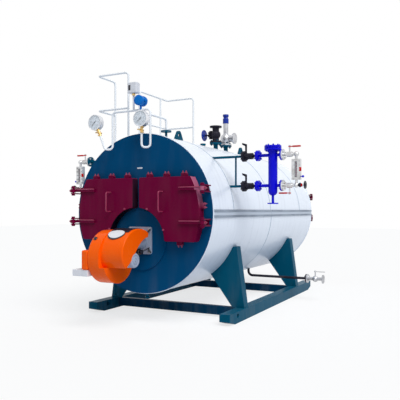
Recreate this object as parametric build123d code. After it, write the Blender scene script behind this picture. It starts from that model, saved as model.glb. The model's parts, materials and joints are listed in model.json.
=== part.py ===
from build123d import *
import math
import os

# Horizontal fire-tube boiler with a gas oil burner, in millimetres.
# X runs to the right, Y to the rear and Z up. While modelling, y = 0 is the front plate's face,
# x = 0 the shell's axis and z = 0 the floor. The last step moves the floor point under the middle
# of the whole part to the origin.

# Named lengths shared by several pieces
overrun = 5.0

# Shell, end plates and side bands
shell_radius = 850.0
ground_gap = 322.0
axis_height = ground_gap + shell_radius
shell_wall = 110.0
shell_length = 3540.0
plate_thickness = 25.0
band_height = 84.0
band_thickness = 5.0
band_rib_height = 24.0
band_rib_thickness = 12.0
band_joint_gap = 16.0
band_joint_y = 1690.0

# Tube ends in the end plates
tube_radius = 26.0
tube_depth = 14.0
tube_pitch = 82.0
tube_margin = 52.0

# Furnace front
furnace_drop = 285.0
furnace_cover_radius = 318.0
furnace_cover_thickness = 15.0

# Smokebox doors
door_rim = 95.0
door_radius = shell_radius - door_rim
door_arc_radius = 345.0
door_inner_x = 37.0
door_top = 375.0
door_bottom = -285.0
door_depth = 94.0
door_seal_gap = 6.0
door_wall = 8.0
door_corner = 22.0
door_edge_round = 5.0
lug_width = 58.0
lug_height = 34.0
lug_depth = 46.0
lug_setback = 16.0
lug_shares = (0.214, 0.531, 0.85)
side_lug_z = 80.0
bottom_lug_share = 0.455

# Door hinges
hinge_gap = 53.0
hinge_x = door_radius + hinge_gap
hinge_reach = 138.0
hinge_heights = (250.0, -88.0)
pin_radius = 12.0
pin_clearance = 0.05
pin_head_radius = 19.0
pin_head_height = 16.0
eye_radius = 25.0
eye_height = 40.0
arm_length = 278.0
arm_depth = 24.0
arm_height = 28.0
clevis_gap = 5.0
clevis_thickness = 12.0
clevis_half_width = 26.0
clevis_web = 18.0
clevis_web_reach = 4.0

# Door handles
handle_x = 326.0
handle_low = 20.0
handle_high = 225.0
handle_reach = 78.0
handle_rod_radius = 7.5
handle_bend = 22.0

# Burner
burner_x = 5.0
burner_flange_size = 288.0
burner_flange_thickness = 16.0
burner_flange_corner = 22.0
neck_radius = 98.0
neck_length = 170.0
fan_y = -318.0
fan_drop = 468.0
scroll_radius = 240.0
scroll_step = 20.0
drum_left = -250.0
drum_right = -50.0
drum_round = 18.0
hood_left = -110.0
hood_right = 150.0
hood_rear = -82.0
hood_drop = 153.0
hood_depth = 460.0
hood_height = 380.0
hood_outer_shares = ((0.0, 0.13), (0.38, 0.0), (0.82, 0.2), (1.0, 0.63), (0.88, 1.0))
hood_inner_shares = ((0.86, 1.0), (0.63, 0.775), (0.36, 0.425), (0.04, 0.24))
hood_round = 10.0
motor_radius = 76.0
motor_inset = 5.0
motor_round = 8.0
side_box_width = 80.0
side_box_depth = 180.0
side_box_height = 196.0
side_box_y = -480.0
side_box_drop = 462.0
side_box_round = 18.0
terminal_width = 96.0
terminal_depth = 120.0
terminal_height = 66.0
terminal_y = -500.0
terminal_gap = 8.0
terminal_round = 6.0

# Skid and saddles
rail_overhang = 70.0
rail_outer_x = shell_radius + rail_overhang
rail_width = 120.0
rail_height = 122.0
rail_front = 258.0
rail_rear = 3240.0
rail_chamfer_length = 140.0
rail_chamfer_height = 82.0
rail_eye_radius = 24.0
rail_eye_y = 469.0
rail_eye_height = 77.0
beam_height = 100.0
beam_width = 60.0
saddle_places = (678.0, 2555.0)
saddle_width = 110.0
web_thickness = 14.0
flange_thickness = 14.0
leg_top_share = 0.4376
leg_top_width = 45.0
leg_inner_share = 0.5765
leg_foot_inset = 15.0
leg_foot_width = 149.0

# Lifting lugs on the ridge
lifting_places = (790.0, 2650.0)
lifting_length = 166.0
lifting_height = 138.0
lifting_thickness = 26.0
lifting_top_radius = 46.0
lifting_eye_radius = 27.0
lifting_eye_drop = 52.0

# Ridge nozzles and valves, flanges as on a 50 mm bore pipe
nozzle_radius = 30.0
nozzle_flange_radius = 82.5
nozzle_flange_thickness = 20.0
nozzle_rise = 110.0
nozzle_flange_z = shell_radius + nozzle_rise
steam_y = 1800.0
safety_y = 2124.0
plug_y = 1423.0
plug_rise = 56.0
plug_top = shell_radius + plug_rise
plug_radius = 24.0
plug_cap_radius = 36.0
plug_cap_height = 22.0
bolt_circle_radius = 62.5
bolt_hole_radius = 9.0
valve_bore_radius = 25.0
valve_bore_depth = 60.0
steam_body_radius = 66.0
steam_barrel_radius = 46.0
steam_axis_rise = 112.0
steam_axis_z = nozzle_flange_z + steam_axis_rise
steam_height = 230.0
steam_top_z = nozzle_flange_z + steam_height
bonnet_radius = 40.0
bonnet_length = 84.0
bonnet_flange_radius = 58.0
bonnet_flange_width = 16.0
stem_radius = 10.0
stem_length = 78.0
wheel_radius = 78.0
wheel_rim_radius = 9.0
wheel_hub_radius = 20.0
wheel_hub_length = 30.0
wheel_spoke_radius = 7.0
wheel_spokes = 5
safety_body_radius = 76.0
safety_axis_rise = 95.0
safety_axis_z = nozzle_flange_z + safety_axis_rise
safety_outlet_x = 144.0
safety_outlet_flange_radius = 76.0
safety_outlet_radius = 48.0
safety_tube_radius = 36.0
safety_tube_rise = 312.0
safety_tube_top = nozzle_flange_z + safety_tube_rise
safety_cap_radius = 42.0
safety_cap_height = 128.0
safety_cap_shares = (0.5, 0.66, 0.8)
safety_cap_neck_radius = 30.0

# Gauge manifold on the front of the ridge
manifold_y = -80.0
manifold_radius = 11.5
manifold_bend = 38.0
syphon_forward = 40.0
header_rise = 235.0
header_z = shell_radius + header_rise
syphon_drop = 162.0
syphon_bottom = shell_radius - syphon_drop
right_leg_x = 169.0
right_gauge_x = 87.0
left_leg_x = -313.0
left_turn_x = -387.0
left_rise_x = -446.0
cock_drop = 12.0
cock_bottom = shell_radius - cock_drop
gauge_rise = 134.0
gauge_z = shell_radius + gauge_rise
feed_rise = 178.0
feed_z = shell_radius + feed_rise
feed_y = 231.0
feed_flange_radius = 57.5
feed_flange_thickness = 16.0
feed_flange_rise = 52.0
feed_flange_z = shell_radius + feed_flange_rise
cock_radius = 15.0
cock_plug_radius = 10.0
cock_plug_length = 62.0
gauge_radius = 85.0
gauge_depth = 56.0
gauge_rim = 7.0
gauge_recess = 9.0
gauge_back = 22.0
switch_x = -40.0
switch_stem_radius = 11.0
switch_rise = 181.0
switch_stem_top = header_z + switch_rise
switch_width = 112.0
switch_depth = 74.0
switch_height = 114.0
switch_round = 8.0
transmitter_x = 50.0
transmitter_rise = 96.0
transmitter_z = header_z + transmitter_rise
transmitter_radius = 48.0
transmitter_length = 96.0
transmitter_cap_radius = 54.0
transmitter_cap_length = 26.0
transmitter_stem_radius = 12.0

# Walkway rails
rail_pipe_radius = 11.0
rail_bend = 40.0
rail_top_rise = 690.0
rail_top_z = shell_radius + rail_top_rise
rail_mid_rise = 300.0
rail_mid_z = shell_radius + rail_mid_rise
rail_side_x = -612.0
rail_end_x = -201.0
front_rail_y = 51.0
front_rail_end_y = 363.0
rear_rail_start_y = 859.0
rear_rail_mid_y = 1356.0
rear_rail_y = 1526.0

# Level pipes and lever valves, flanges as on a 25 mm bore pipe
level_heights = (613.0, 293.0)
level_pipe_radius = 13.5
right_level_y = 537.0
left_level_y = 300.0
tie_gap = 15.0
tie_radius = 10.0
small_flange_radius = 57.5
small_flange_thickness = 16.0
small_bolt_circle_radius = 42.5
small_bolt_hole_radius = 7.0
column_valve_gap = 98.0
column_valve_x = shell_radius + column_valve_gap
column_valve_length = 160.0
valve_barrel_radius = 34.0
valve_neck_radius = 17.0
valve_stem_radius = 12.0
valve_stem_reach = 84.0
lever_offset = 74.0
lever_x = column_valve_x + lever_offset
lever_thickness = 7.0
lever_width = 20.0
lever_length = 118.0
lever_hook = 34.0
lever_hub_radius = 17.0

# Water column
column_offset = 182.0
column_x = column_valve_x + column_valve_length + column_offset
column_radius = 48.5
column_bottom = 232.0
column_dish = 46.0
column_top = 663.0
column_flange_radius = 90.0
column_flange_thickness = 22.0
column_flange_gap = 4.0
column_tail_radius = 14.0
column_tail_bottom = 112.0
column_tail_disc_radius = 57.0
column_tail_disc_thickness = 12.0
column_outlet = 105.0
column_out_x = column_x + column_outlet

# Gauge glasses and cocks
glass_offset = 151.0
glass_width = 92.0
glass_depth = 46.0
glass_top = 561.0
glass_bottom = 347.0
glass_slot_width = 26.0
glass_slot_depth = 12.0
glass_slot_margin = 26.0
cock_body_radius = 27.0
cock_body_length = 58.0
cock_pipe_radius = 15.0
cock_lever_offset = 79.0
cock_lever_rise = 76.0
cock_lever_length = 114.0
cock_lever_width = 17.0
cock_lever_thickness = 9.0
cock_stem_radius = 8.0
cock_hub_radius = 14.0
drain_wheel_offset = 236.0
drain_wheel_radius = 42.0
drain_wheel_width = 15.0
left_flange_gap = 80.0
left_flange_x = shell_radius + left_flange_gap

# Blowdown line and drains
blowdown_y = 2200.0
blowdown_radius = 17.0
blowdown_bend = 60.0
blowdown_leave_x = 320.0
blowdown_clearance = 170.0
blowdown_height = rail_height + blowdown_clearance
blowdown_reach = 251.0
blowdown_flange_x = rail_outer_x + blowdown_reach
blowdown_valve_length = 226.0
blowdown_body_radius = 40.0
blowdown_neck_radius = 22.0
blowdown_lever_rise = 92.0
blowdown_lever_length = 130.0
drain_radius = 13.0
drain_inset = 50.0
drain_y = 600.0
drain_gap = 30.0
stub_x = 14.0
stub_y = 100.0
stub_radius = 18.0
stub_length = 66.0
stub_cap_radius = 26.0
stub_cap_length = 16.0

# Flue outlet at the rear
flue_radius = 150.0
flue_wall = 6.0
flue_length = 190.0
flue_flange_radius = 196.0
flue_flange_thickness = 12.0

# Unit directions
RIGHT = (1, 0, 0)
LEFT = (-1, 0, 0)
REAR = (0, 1, 0)
FRONT = (0, -1, 0)
UP = (0, 0, 1)
DOWN = (0, 0, -1)
FROM_START = (Align.CENTER, Align.CENTER, Align.MIN)

# The axis of the furnace and burner, above the floor
furnace_z = axis_height - furnace_drop


def level(z):
    """Height above the floor of a height measured from the shell's axis."""
    return axis_height + z


def rod(start, direction, radius, length):
    """Round bar that begins at a point and runs along a direction."""
    return Plane(origin=start, z_dir=direction) * Cylinder(radius, length, align=FROM_START)


def ring(start, direction, radius, bore, length):
    """Round collar that begins at a point and runs along a direction."""
    return rod(start, direction, radius, length) - rod(start, direction, bore, length)


def block(low, high):
    """Box between two opposite corners."""
    size = [b - a for a, b in zip(low, high)]
    middle = [(a + b) / 2 for a, b in zip(low, high)]
    return Pos(*middle) * Box(*size)


def front_slab(sketch, front, back):
    """Extrude a sketch seen from the front, with its origin on the shell's axis."""
    plane = Plane(origin=(0, back, axis_height), x_dir=RIGHT, z_dir=FRONT)
    return extrude(plane * sketch, amount=back - front)


def side_slab(sketch, left, right):
    """Extrude a sketch seen from the right, with its origin at floor level."""
    plane = Plane(origin=(left, 0, 0), x_dir=REAR, z_dir=RIGHT)
    return extrude(plane * sketch, amount=right - left)


def pipe(points, radius, bend):
    """Round pipe along straight runs with equal bends."""
    route = FilletPolyline(*points, radius=bend)
    return sweep(Plane(origin=route @ 0, z_dir=route % 0) * Circle(radius), path=route)


def mirrored(solid):
    """The same piece on the other side of the shell's axis."""
    return mirror(solid, about=Plane.YZ)


def shell_core():
    """The whole cylinder inside the cladding, used to end pieces on its surface."""
    return rod((0, 0, axis_height), REAR, shell_radius, shell_length)


def bolt_holes(start, direction, circle, radius, length):
    """Four bolt holes on a circle, between the main axes."""
    plane = Plane(origin=start, z_dir=direction)
    hole = Cylinder(radius, length, align=FROM_START)
    return [plane * place * hole for place in PolarLocations(circle, 4, start_angle=45)]


def shell():
    """Insulated shell wall under its cladding."""
    outer = rod((0, plate_thickness, axis_height), REAR, shell_radius, shell_length - 2 * plate_thickness)
    inner = rod((0, 0, axis_height), REAR, shell_radius - shell_wall, shell_length)
    return outer - inner


def side_bands():
    """Cover bands over the cladding's long joints, with two ribs each, in two lengths."""
    def strip(thickness, height, middle):
        arc = Circle(shell_radius + thickness) - Circle(shell_radius)
        return arc & (Pos(shell_radius, middle) * Rectangle(2 * (band_rib_thickness + overrun), height))

    rib_middle = (band_height - band_rib_height) / 2
    profile = strip(band_thickness, band_height, 0)
    for side in (-1, 1):
        profile += strip(band_rib_thickness, band_rib_height, side * rib_middle)
    joint = band_joint_gap / 2
    lengths = (
        (plate_thickness, band_joint_y - joint),
        (band_joint_y + joint, shell_length - plate_thickness),
    )
    right = [front_slab(profile, start, end) for start, end in lengths]
    return right + [mirrored(piece) for piece in right]


def door_outline(inset):
    """Outline of the right door: a sector between the furnace arc and the outer arc."""
    width = door_radius - door_inner_x
    height = door_top - door_bottom - 2 * inset
    middle = ((door_radius + door_inner_x) / 2 + inset, (door_top + door_bottom) / 2)
    outline = Circle(door_radius - inset) & (Pos(*middle) * Rectangle(width, height))
    outline -= Pos(0, -furnace_drop) * Circle(door_arc_radius + inset)
    return fillet(outline.vertices(), door_corner - inset)


def tube_places():
    """Centres of the tube ends that lie behind the right door."""
    columns = int(door_radius / tube_pitch) + 1
    rows = range(int(door_bottom / tube_pitch), int(door_top / tube_pitch) + 1)
    places = []
    for row in rows:
        for column in range(columns):
            x = door_inner_x + tube_margin + column * tube_pitch + (row % 2) * tube_pitch / 2
            z = row * tube_pitch
            inside = math.hypot(x, z) < door_radius - tube_margin
            outside = math.hypot(x, z + furnace_drop) > door_arc_radius + tube_margin
            between = door_bottom + tube_margin < z < door_top - tube_margin
            if inside and outside and between:
                places.append((x, z))
    return places


def end_plate(front, tubes_from, tubes_to):
    """Round end plate with the blind tube ends on its outer face."""
    plate = rod((0, front, axis_height), REAR, shell_radius, plate_thickness)
    holes = Sketch()
    for x, z in tube_places():
        holes += Pos(x, z) * Circle(tube_radius)
        holes += Pos(-x, z) * Circle(tube_radius)
    return plate - front_slab(holes, tubes_from, tubes_to)


def front_plate():
    """Front tube plate."""
    return end_plate(0, -overrun, tube_depth)


def rear_plate():
    """Rear tube plate."""
    return end_plate(shell_length - plate_thickness, shell_length - tube_depth, shell_length + overrun)


def furnace_cover():
    """Round cover over the furnace mouth, below the doors' arcs."""
    return rod((0, 0, furnace_z), FRONT, furnace_cover_radius, furnace_cover_thickness)


def hinge_arm(z):
    """Strap on the door's front that ends in an eye around the hinge pin."""
    front = -door_seal_gap - door_depth
    bar = block(
        (hinge_x - arm_length, front - arm_depth, level(z) - arm_height / 2),
        (hinge_x, front, level(z) + arm_height / 2),
    )
    start = (hinge_x, -hinge_reach, level(z) - eye_height / 2)
    eye = rod(start, UP, eye_radius, eye_height)
    return bar + eye - rod(start, UP, pin_radius + pin_clearance, eye_height)


def clamp_lugs():
    """Lugs around the door's edge that the swing bolts bear on."""
    back = -door_seal_gap - lug_setback
    front = back - lug_depth
    lugs = []
    top_half = math.sqrt(door_radius**2 - door_top**2)
    for share in lug_shares:
        x = share * top_half
        low = (x - lug_width / 2, front, level(door_top) - door_wall)
        high = (x + lug_width / 2, back, level(door_top) + lug_height)
        lugs.append(block(low, high))
    bottom_half = math.sqrt(door_radius**2 - door_bottom**2)
    x = door_arc_radius + bottom_lug_share * (bottom_half - door_arc_radius)
    low = (x - lug_width / 2, front, level(door_bottom) - lug_height)
    high = (x + lug_width / 2, back, level(door_bottom) + door_wall)
    lugs.append(block(low, high))
    edge = math.sqrt(door_radius**2 - side_lug_z**2)
    low = (edge - door_wall, front, level(side_lug_z) - lug_width / 2)
    high = (edge + lug_height, back, level(side_lug_z) + lug_width / 2)
    lugs.append(block(low, high))
    return lugs


def right_door():
    """Right smokebox door: a steel pan with hinge arms and clamp lugs."""
    back = -door_seal_gap
    front = back - door_depth
    pan = front_slab(door_outline(0), front, back)
    pan = fillet(pan.faces().sort_by(Axis.Y)[0].edges(), door_edge_round)
    for z in hinge_heights:
        pan += hinge_arm(z)
    for lug in clamp_lugs():
        pan += lug
    return pan - front_slab(door_outline(door_wall), front + door_wall, back + overrun)


def right_door_lining():
    """Refractory lining that fills the right door's pan."""
    return front_slab(door_outline(door_wall), -door_seal_gap - door_depth + door_wall, -door_seal_gap)


def right_door_handle():
    """Bent rod handle on the right door."""
    face = -door_seal_gap - door_depth
    points = [
        (handle_x, face, level(handle_low)),
        (handle_x, face - handle_reach, level(handle_low)),
        (handle_x, face - handle_reach, level(handle_high)),
        (handle_x, face, level(handle_high)),
    ]
    return pipe(points, handle_rod_radius, handle_bend)


def hinge_bracket(z):
    """Clevis bracket on the front plate's rim with its fixed hinge pin."""
    eye_half = eye_height / 2
    inner = eye_half + clevis_gap
    outer = inner + clevis_thickness
    bracket = block(
        (hinge_x - clevis_half_width, -clevis_web, level(z) - outer),
        (hinge_x + clevis_web_reach, 0, level(z) + outer),
    )
    for bottom in (-outer, inner):
        low = (hinge_x - clevis_half_width, -hinge_reach, level(z) + bottom)
        high = (hinge_x + clevis_half_width, 0, level(z) + bottom + clevis_thickness)
        nose = rod((hinge_x, -hinge_reach, low[2]), UP, clevis_half_width, clevis_thickness)
        bracket += block(low, high) + nose
    half_pin = outer + pin_head_height
    bracket += rod((hinge_x, -hinge_reach, level(z) - half_pin), UP, pin_radius, 2 * half_pin)
    for start, direction in ((outer, UP), (-outer, DOWN)):
        bracket += rod((hinge_x, -hinge_reach, level(z) + start), direction, pin_head_radius, pin_head_height)
    return bracket


def turned_to_rear(solid):
    """The same piece on the rear plate."""
    return mirror(solid, about=Plane(origin=(0, shell_length / 2, 0), z_dir=REAR))


def hinge_brackets():
    """Front and rear hinge brackets on both sides."""
    front_right = [hinge_bracket(z) for z in hinge_heights]
    front = front_right + [mirrored(piece) for piece in front_right]
    return front + [turned_to_rear(piece) for piece in front]


def rear_doors():
    """Rear smokebox doors, closed, as on the front."""
    right = turned_to_rear(right_door() + right_door_lining())
    return [right, mirrored(right)]


def flue_outlet():
    """Flue collar with a flange, in the rear doors' arc."""
    start = (0, shell_length, furnace_z)
    collar = ring(start, REAR, flue_radius + flue_wall, flue_radius, flue_length)
    collar += ring(start, REAR, furnace_cover_radius, flue_radius, flue_flange_thickness)
    end = (0, shell_length + flue_length - flue_flange_thickness, furnace_z)
    return collar + ring(end, REAR, flue_flange_radius, flue_radius, flue_flange_thickness)


def burner_flange():
    """Square mounting flange with round corners."""
    back = -furnace_cover_thickness
    sketch = RectangleRounded(burner_flange_size, burner_flange_size, burner_flange_corner)
    return front_slab(Pos(burner_x, -furnace_drop) * sketch, back - burner_flange_thickness, back)


def hood_curve(shares):
    """Curve in the side view through shares of the hood's depth and height."""
    top = level(-hood_drop)
    return Spline([(hood_rear - depth * hood_depth, top - drop * hood_height) for depth, drop in shares])


def hood_profile():
    """Side view of the hood: a crescent from the flange over the burner's front to a lip."""
    outer = hood_curve(hood_outer_shares)
    inner = hood_curve(hood_inner_shares)
    return make_face([outer, Line(outer @ 1, inner @ 0), inner, Line(inner @ 1, outer @ 0)])


def burner_hood():
    """Crescent hood over the burner's body, with a rounded right edge."""
    hood = side_slab(hood_profile(), hood_left, hood_right)
    outer = hood.faces().sort_by(Axis.X)[-1].edges().sort_by(SortBy.LENGTH)[-1]
    return fillet(outer, hood_round)


def scroll_profile():
    """Side view of the fan housing: three growing quarter arcs from its rear to its top outlet."""
    middle = level(-fan_drop)
    second = scroll_radius + scroll_step
    third = second + scroll_step
    top = middle + scroll_step + third
    corner = (fan_y + scroll_radius, top)
    outline = [
        CenterArc((fan_y, middle), scroll_radius, 0, -90),
        CenterArc((fan_y, middle + scroll_step), second, -90, -90),
        CenterArc((fan_y + scroll_step, middle + scroll_step), third, 180, -90),
        Line((fan_y + scroll_step, top), corner),
        Line(corner, (fan_y + scroll_radius, middle)),
    ]
    return make_face(outline)


def hood_space():
    """Side view of what lies in front of the hood's inner curve and above its lip."""
    inner = hood_curve(hood_inner_shares)
    lip, rear = inner @ 0, inner @ 1
    top = level(-hood_drop) + hood_height
    front = fan_y - 2 * scroll_radius
    lines = Polyline((rear.X, rear.Y), (rear.X, top), (front, top), (front, lip.Y), (lip.X, lip.Y))
    return make_face([inner, *lines.edges()])


def burner_drum():
    """Fan housing: a scroll left of the hood, cut back under the hood."""
    drum = side_slab(scroll_profile(), drum_left, hood_left)
    drum = fillet(drum.faces().sort_by(Axis.X)[0].edges(), drum_round)
    inner = scroll_profile() - hood_space() - hood_profile()
    return drum + side_slab(inner, hood_left, drum_right)


def burner_neck():
    """Air neck between the burner's body and the flange."""
    back = -furnace_cover_thickness - burner_flange_thickness
    neck = rod((burner_x, back, furnace_z), FRONT, neck_radius, neck_length)
    return neck - burner_drum() - side_slab(hood_profile(), hood_left, hood_right)


def burner_motor():
    """Fan motor on the fan's axis, under the hood, with a rounded end."""
    length = hood_right - motor_inset - drum_right
    motor = rod((drum_right, fan_y, level(-fan_drop)), RIGHT, motor_radius, length)
    motor = fillet(motor.edges().filter_by(GeomType.CIRCLE).sort_by(Axis.X)[-1], motor_round)
    return motor - side_slab(hood_profile(), hood_left, hood_right) - burner_neck()


def rounded_box(low, high, radius):
    """Box between two corners with all its edges rounded."""
    box = block(low, high)
    return fillet(box.edges(), radius)


def burner_side_box():
    """Damper drive box on the drum's left end."""
    middle = level(-side_box_drop)
    low = (drum_left - side_box_width, side_box_y - side_box_depth / 2, middle - side_box_height / 2)
    high = (drum_left, side_box_y + side_box_depth / 2, middle + side_box_height / 2)
    return rounded_box(low, high, side_box_round)


def terminal_boxes():
    """Two small terminal boxes under the side box."""
    top = level(-side_box_drop) - side_box_height / 2
    right = drum_left - terminal_gap
    low = (right - 2 * terminal_width, terminal_y - terminal_depth / 2, top - terminal_height)
    high = (right, terminal_y + terminal_depth / 2, top)
    return rounded_box(low, high, terminal_round)


def right_rail():
    """Skid rail with runner ends and a towing eye near its front."""
    foot = rail_height - rail_chamfer_height
    outline = Polyline(
        (rail_front, rail_height),
        (rail_front, foot),
        (rail_front + rail_chamfer_length, 0),
        (rail_rear - rail_chamfer_length, 0),
        (rail_rear, foot),
        (rail_rear, rail_height),
        close=True,
    )
    rail = side_slab(make_face(outline), rail_outer_x - rail_width, rail_outer_x)
    eye = rod((rail_outer_x - rail_width, rail_eye_y, rail_eye_height), RIGHT, rail_eye_radius, rail_width)
    return rail - eye


def cross_beams():
    """Beams between the rails under the two saddles."""
    inner = rail_outer_x - rail_width
    beams = []
    for y in saddle_places:
        low = (-inner, y, rail_height - beam_height)
        beams.append(block(low, (inner, y + beam_width, rail_height)))
    return beams


def right_leg(y):
    """Right saddle leg: a web that follows the shell, and a leaning outer flange."""
    leg_top_z = -leg_top_share * shell_radius
    leg_inner_x = leg_inner_share * shell_radius
    leg_foot_x = rail_outer_x - leg_foot_inset
    top_inner_x = math.sqrt(shell_radius**2 - leg_top_z**2)
    foot_z = rail_height - axis_height
    inner_z = -math.sqrt(shell_radius**2 - leg_inner_x**2)
    top_outer = (top_inner_x + leg_top_width, leg_top_z)
    foot_outer = (leg_foot_x, foot_z)
    web = make_face(
        Polyline(
            (leg_inner_x, leg_top_z),
            top_outer,
            foot_outer,
            (leg_foot_x - leg_foot_width, foot_z),
            (leg_inner_x, inner_z),
            close=True,
        )
    )
    flange = make_face(
        Polyline(
            top_outer,
            foot_outer,
            (foot_outer[0] - flange_thickness, foot_z),
            (top_outer[0] - flange_thickness, leg_top_z),
            close=True,
        )
    )
    cap = Pos(top_inner_x + leg_top_width / 2, leg_top_z - flange_thickness / 2)
    cap *= Rectangle(leg_top_width + shell_wall, flange_thickness)
    cap &= web
    leg = front_slab(web, y, y + web_thickness)
    leg += front_slab(flange, y, y + saddle_width)
    leg += front_slab(cap, y, y + saddle_width)
    return leg - shell_core()


def saddle(y):
    """The pair of legs under one end of the shell."""
    leg = right_leg(y)
    return [leg, mirrored(leg)]


def lifting_lug(y):
    """Plate lug on the ridge with a shackle eye."""
    ridge = level(shell_radius)
    top = ridge + lifting_height
    base = Pos(y, ridge) * Rectangle(lifting_length, 2 * lifting_top_radius)
    crown = Pos(y, top - lifting_top_radius) * Circle(lifting_top_radius)
    outline = make_hull((base + crown).edges())
    outline -= Pos(y, top - lifting_eye_drop) * Circle(lifting_eye_radius)
    return side_slab(outline, -lifting_thickness / 2, lifting_thickness / 2) - shell_core()


def lifting_lugs():
    """Front and rear lifting lugs."""
    return [lifting_lug(y) for y in lifting_places]


def flanged_nozzle(x, y, radius, flange_radius, thickness, top):
    """Short upright pipe on the shell with a flange on its top."""
    start = (x, y, level(0))
    stub = rod(start, UP, radius, top)
    stub += rod((x, y, level(top) - thickness), UP, flange_radius, thickness)
    return stub - shell_core()


def top_nozzles():
    """Nozzles for steam, safety valve and gauge line, and a plugged stub."""
    steam = flanged_nozzle(
        0, steam_y, nozzle_radius, nozzle_flange_radius, nozzle_flange_thickness, nozzle_flange_z
    )
    safety = flanged_nozzle(
        0, safety_y, nozzle_radius, nozzle_flange_radius, nozzle_flange_thickness, nozzle_flange_z
    )
    gauge = flanged_nozzle(
        right_leg_x, feed_y, level_pipe_radius, feed_flange_radius, feed_flange_thickness, feed_flange_z
    )
    plug = flanged_nozzle(0, plug_y, plug_radius, plug_cap_radius, plug_cap_height, plug_top)
    return [steam, safety, gauge, plug]


def steam_valve_body():
    """Globe valve: flanged barrel upward, bonnet and stem to the left."""
    bottom = level(nozzle_flange_z)
    top = level(steam_top_z)
    middle = (0, steam_y, level(steam_axis_z))
    body = rod((0, steam_y, bottom), UP, steam_barrel_radius, top - bottom)
    body += Pos(*middle) * Sphere(steam_body_radius)
    body += rod((0, steam_y, bottom), UP, nozzle_flange_radius, nozzle_flange_thickness)
    body += rod((0, steam_y, top), DOWN, nozzle_flange_radius, nozzle_flange_thickness)
    body += rod(middle, LEFT, bonnet_radius, bonnet_length)
    flange_start = (-bonnet_length + bonnet_flange_width, steam_y, level(steam_axis_z))
    body += rod(flange_start, LEFT, bonnet_flange_radius, bonnet_flange_width)
    body += rod(middle, LEFT, stem_radius, bonnet_length + stem_length + wheel_hub_length)
    body -= rod((0, steam_y, top), DOWN, valve_bore_radius, valve_bore_depth)
    body -= bolt_holes(
        (0, steam_y, top), DOWN, bolt_circle_radius, bolt_hole_radius, nozzle_flange_thickness
    )
    return body


def steam_handwheel():
    """Spoked handwheel on the steam valve's stem."""
    start = (-bonnet_length - stem_length, steam_y, level(steam_axis_z))
    plane = Plane(origin=start, z_dir=LEFT)
    hub = Cylinder(wheel_hub_radius, wheel_hub_length, align=FROM_START)
    middle = Pos(0, 0, wheel_hub_length / 2)
    wheel = hub + middle * Torus(wheel_radius - wheel_rim_radius, wheel_rim_radius)
    spoke = rod((0, 0, 0), RIGHT, wheel_spoke_radius, wheel_radius - wheel_rim_radius)
    for step in range(wheel_spokes):
        wheel += middle * Rot(0, 0, (step + 0.5) * 360 / wheel_spokes) * spoke
    wheel -= Cylinder(stem_radius + pin_clearance, wheel_hub_length, align=FROM_START)
    return plane * wheel


def safety_valve_body():
    """Angle body of the safety valve with its outlet flange to the right."""
    bottom = level(nozzle_flange_z)
    axis = level(safety_axis_z)
    middle = (0, safety_y, axis)
    body = Pos(*middle) * Sphere(safety_body_radius)
    body += rod((0, safety_y, bottom), UP, safety_outlet_radius, axis - bottom)
    body += rod((0, safety_y, bottom), UP, nozzle_flange_radius, nozzle_flange_thickness)
    body += rod(middle, RIGHT, safety_outlet_radius, safety_outlet_x)
    flange = (safety_outlet_x - nozzle_flange_thickness, safety_y, axis)
    body += rod(flange, RIGHT, safety_outlet_flange_radius, nozzle_flange_thickness)
    body += rod(middle, UP, safety_tube_radius, level(safety_tube_top) - axis)
    return body


def safety_cap():
    """Cap over the safety valve's spring."""
    start = level(safety_tube_top)
    shoulder, waist, collar = [start + share * safety_cap_height for share in safety_cap_shares]
    top = start + safety_cap_height
    profile = Polyline(
        (0, start),
        (safety_cap_radius, start),
        (safety_cap_radius, shoulder),
        (safety_cap_neck_radius, waist),
        (safety_cap_radius, collar),
        (safety_cap_radius, top),
        (0, top),
        close=True,
    )
    return Pos(0, safety_y, 0) * revolve(Plane.XZ * make_face(profile), axis=Axis.Z)


def gauge_manifold():
    """Bent gauge pipe with a syphon at each end, and its feed from the shell."""
    cock_z = level(cock_bottom)
    gauge_y = manifold_y - syphon_forward
    run = [
        (right_gauge_x, gauge_y, cock_z),
        (right_gauge_x, gauge_y, level(syphon_bottom)),
        (right_leg_x, manifold_y, level(syphon_bottom)),
        (right_leg_x, manifold_y, level(header_z)),
        (left_leg_x, manifold_y, level(header_z)),
        (left_leg_x, manifold_y, level(syphon_bottom)),
        (left_turn_x, gauge_y, level(syphon_bottom)),
        (left_rise_x, gauge_y, cock_z),
    ]
    manifold = pipe(run, manifold_radius, manifold_bend)
    feed = [
        (right_leg_x, manifold_y, level(feed_z)),
        (right_leg_x, feed_y, level(feed_z)),
        (right_leg_x, feed_y, level(feed_flange_z)),
    ]
    return manifold + pipe(feed, manifold_radius, manifold_bend)


def gauge_axis(x, turn_x):
    """Start point and direction of the short rise from a syphon to its gauge."""
    start = Vector(x, manifold_y - syphon_forward, level(cock_bottom))
    rise = Vector(x - turn_x, 0, cock_bottom - syphon_bottom)
    return start, rise.normalized()


def gauge_centre(x, turn_x):
    """Centre of the gauge on a syphon's rise."""
    start, direction = gauge_axis(x, turn_x)
    return start + direction * ((gauge_z - cock_bottom) / direction.Z)


def gauge_cock(x, turn_x):
    """Plug cock between a syphon and its gauge."""
    start, direction = gauge_axis(x, turn_x)
    length = (gauge_centre(x, turn_x) - start).length - gauge_radius
    middle = start + direction * (length / 2)
    cock = rod(start, direction, cock_radius, length)
    plug_start = middle + Vector(*REAR) * (cock_plug_length / 2)
    return cock + rod(plug_start, FRONT, cock_plug_radius, cock_plug_length)


def gauge_cocks():
    """Plug cocks under both pressure gauges."""
    return [gauge_cock(right_gauge_x, right_gauge_x), gauge_cock(left_rise_x, left_turn_x)]


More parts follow.
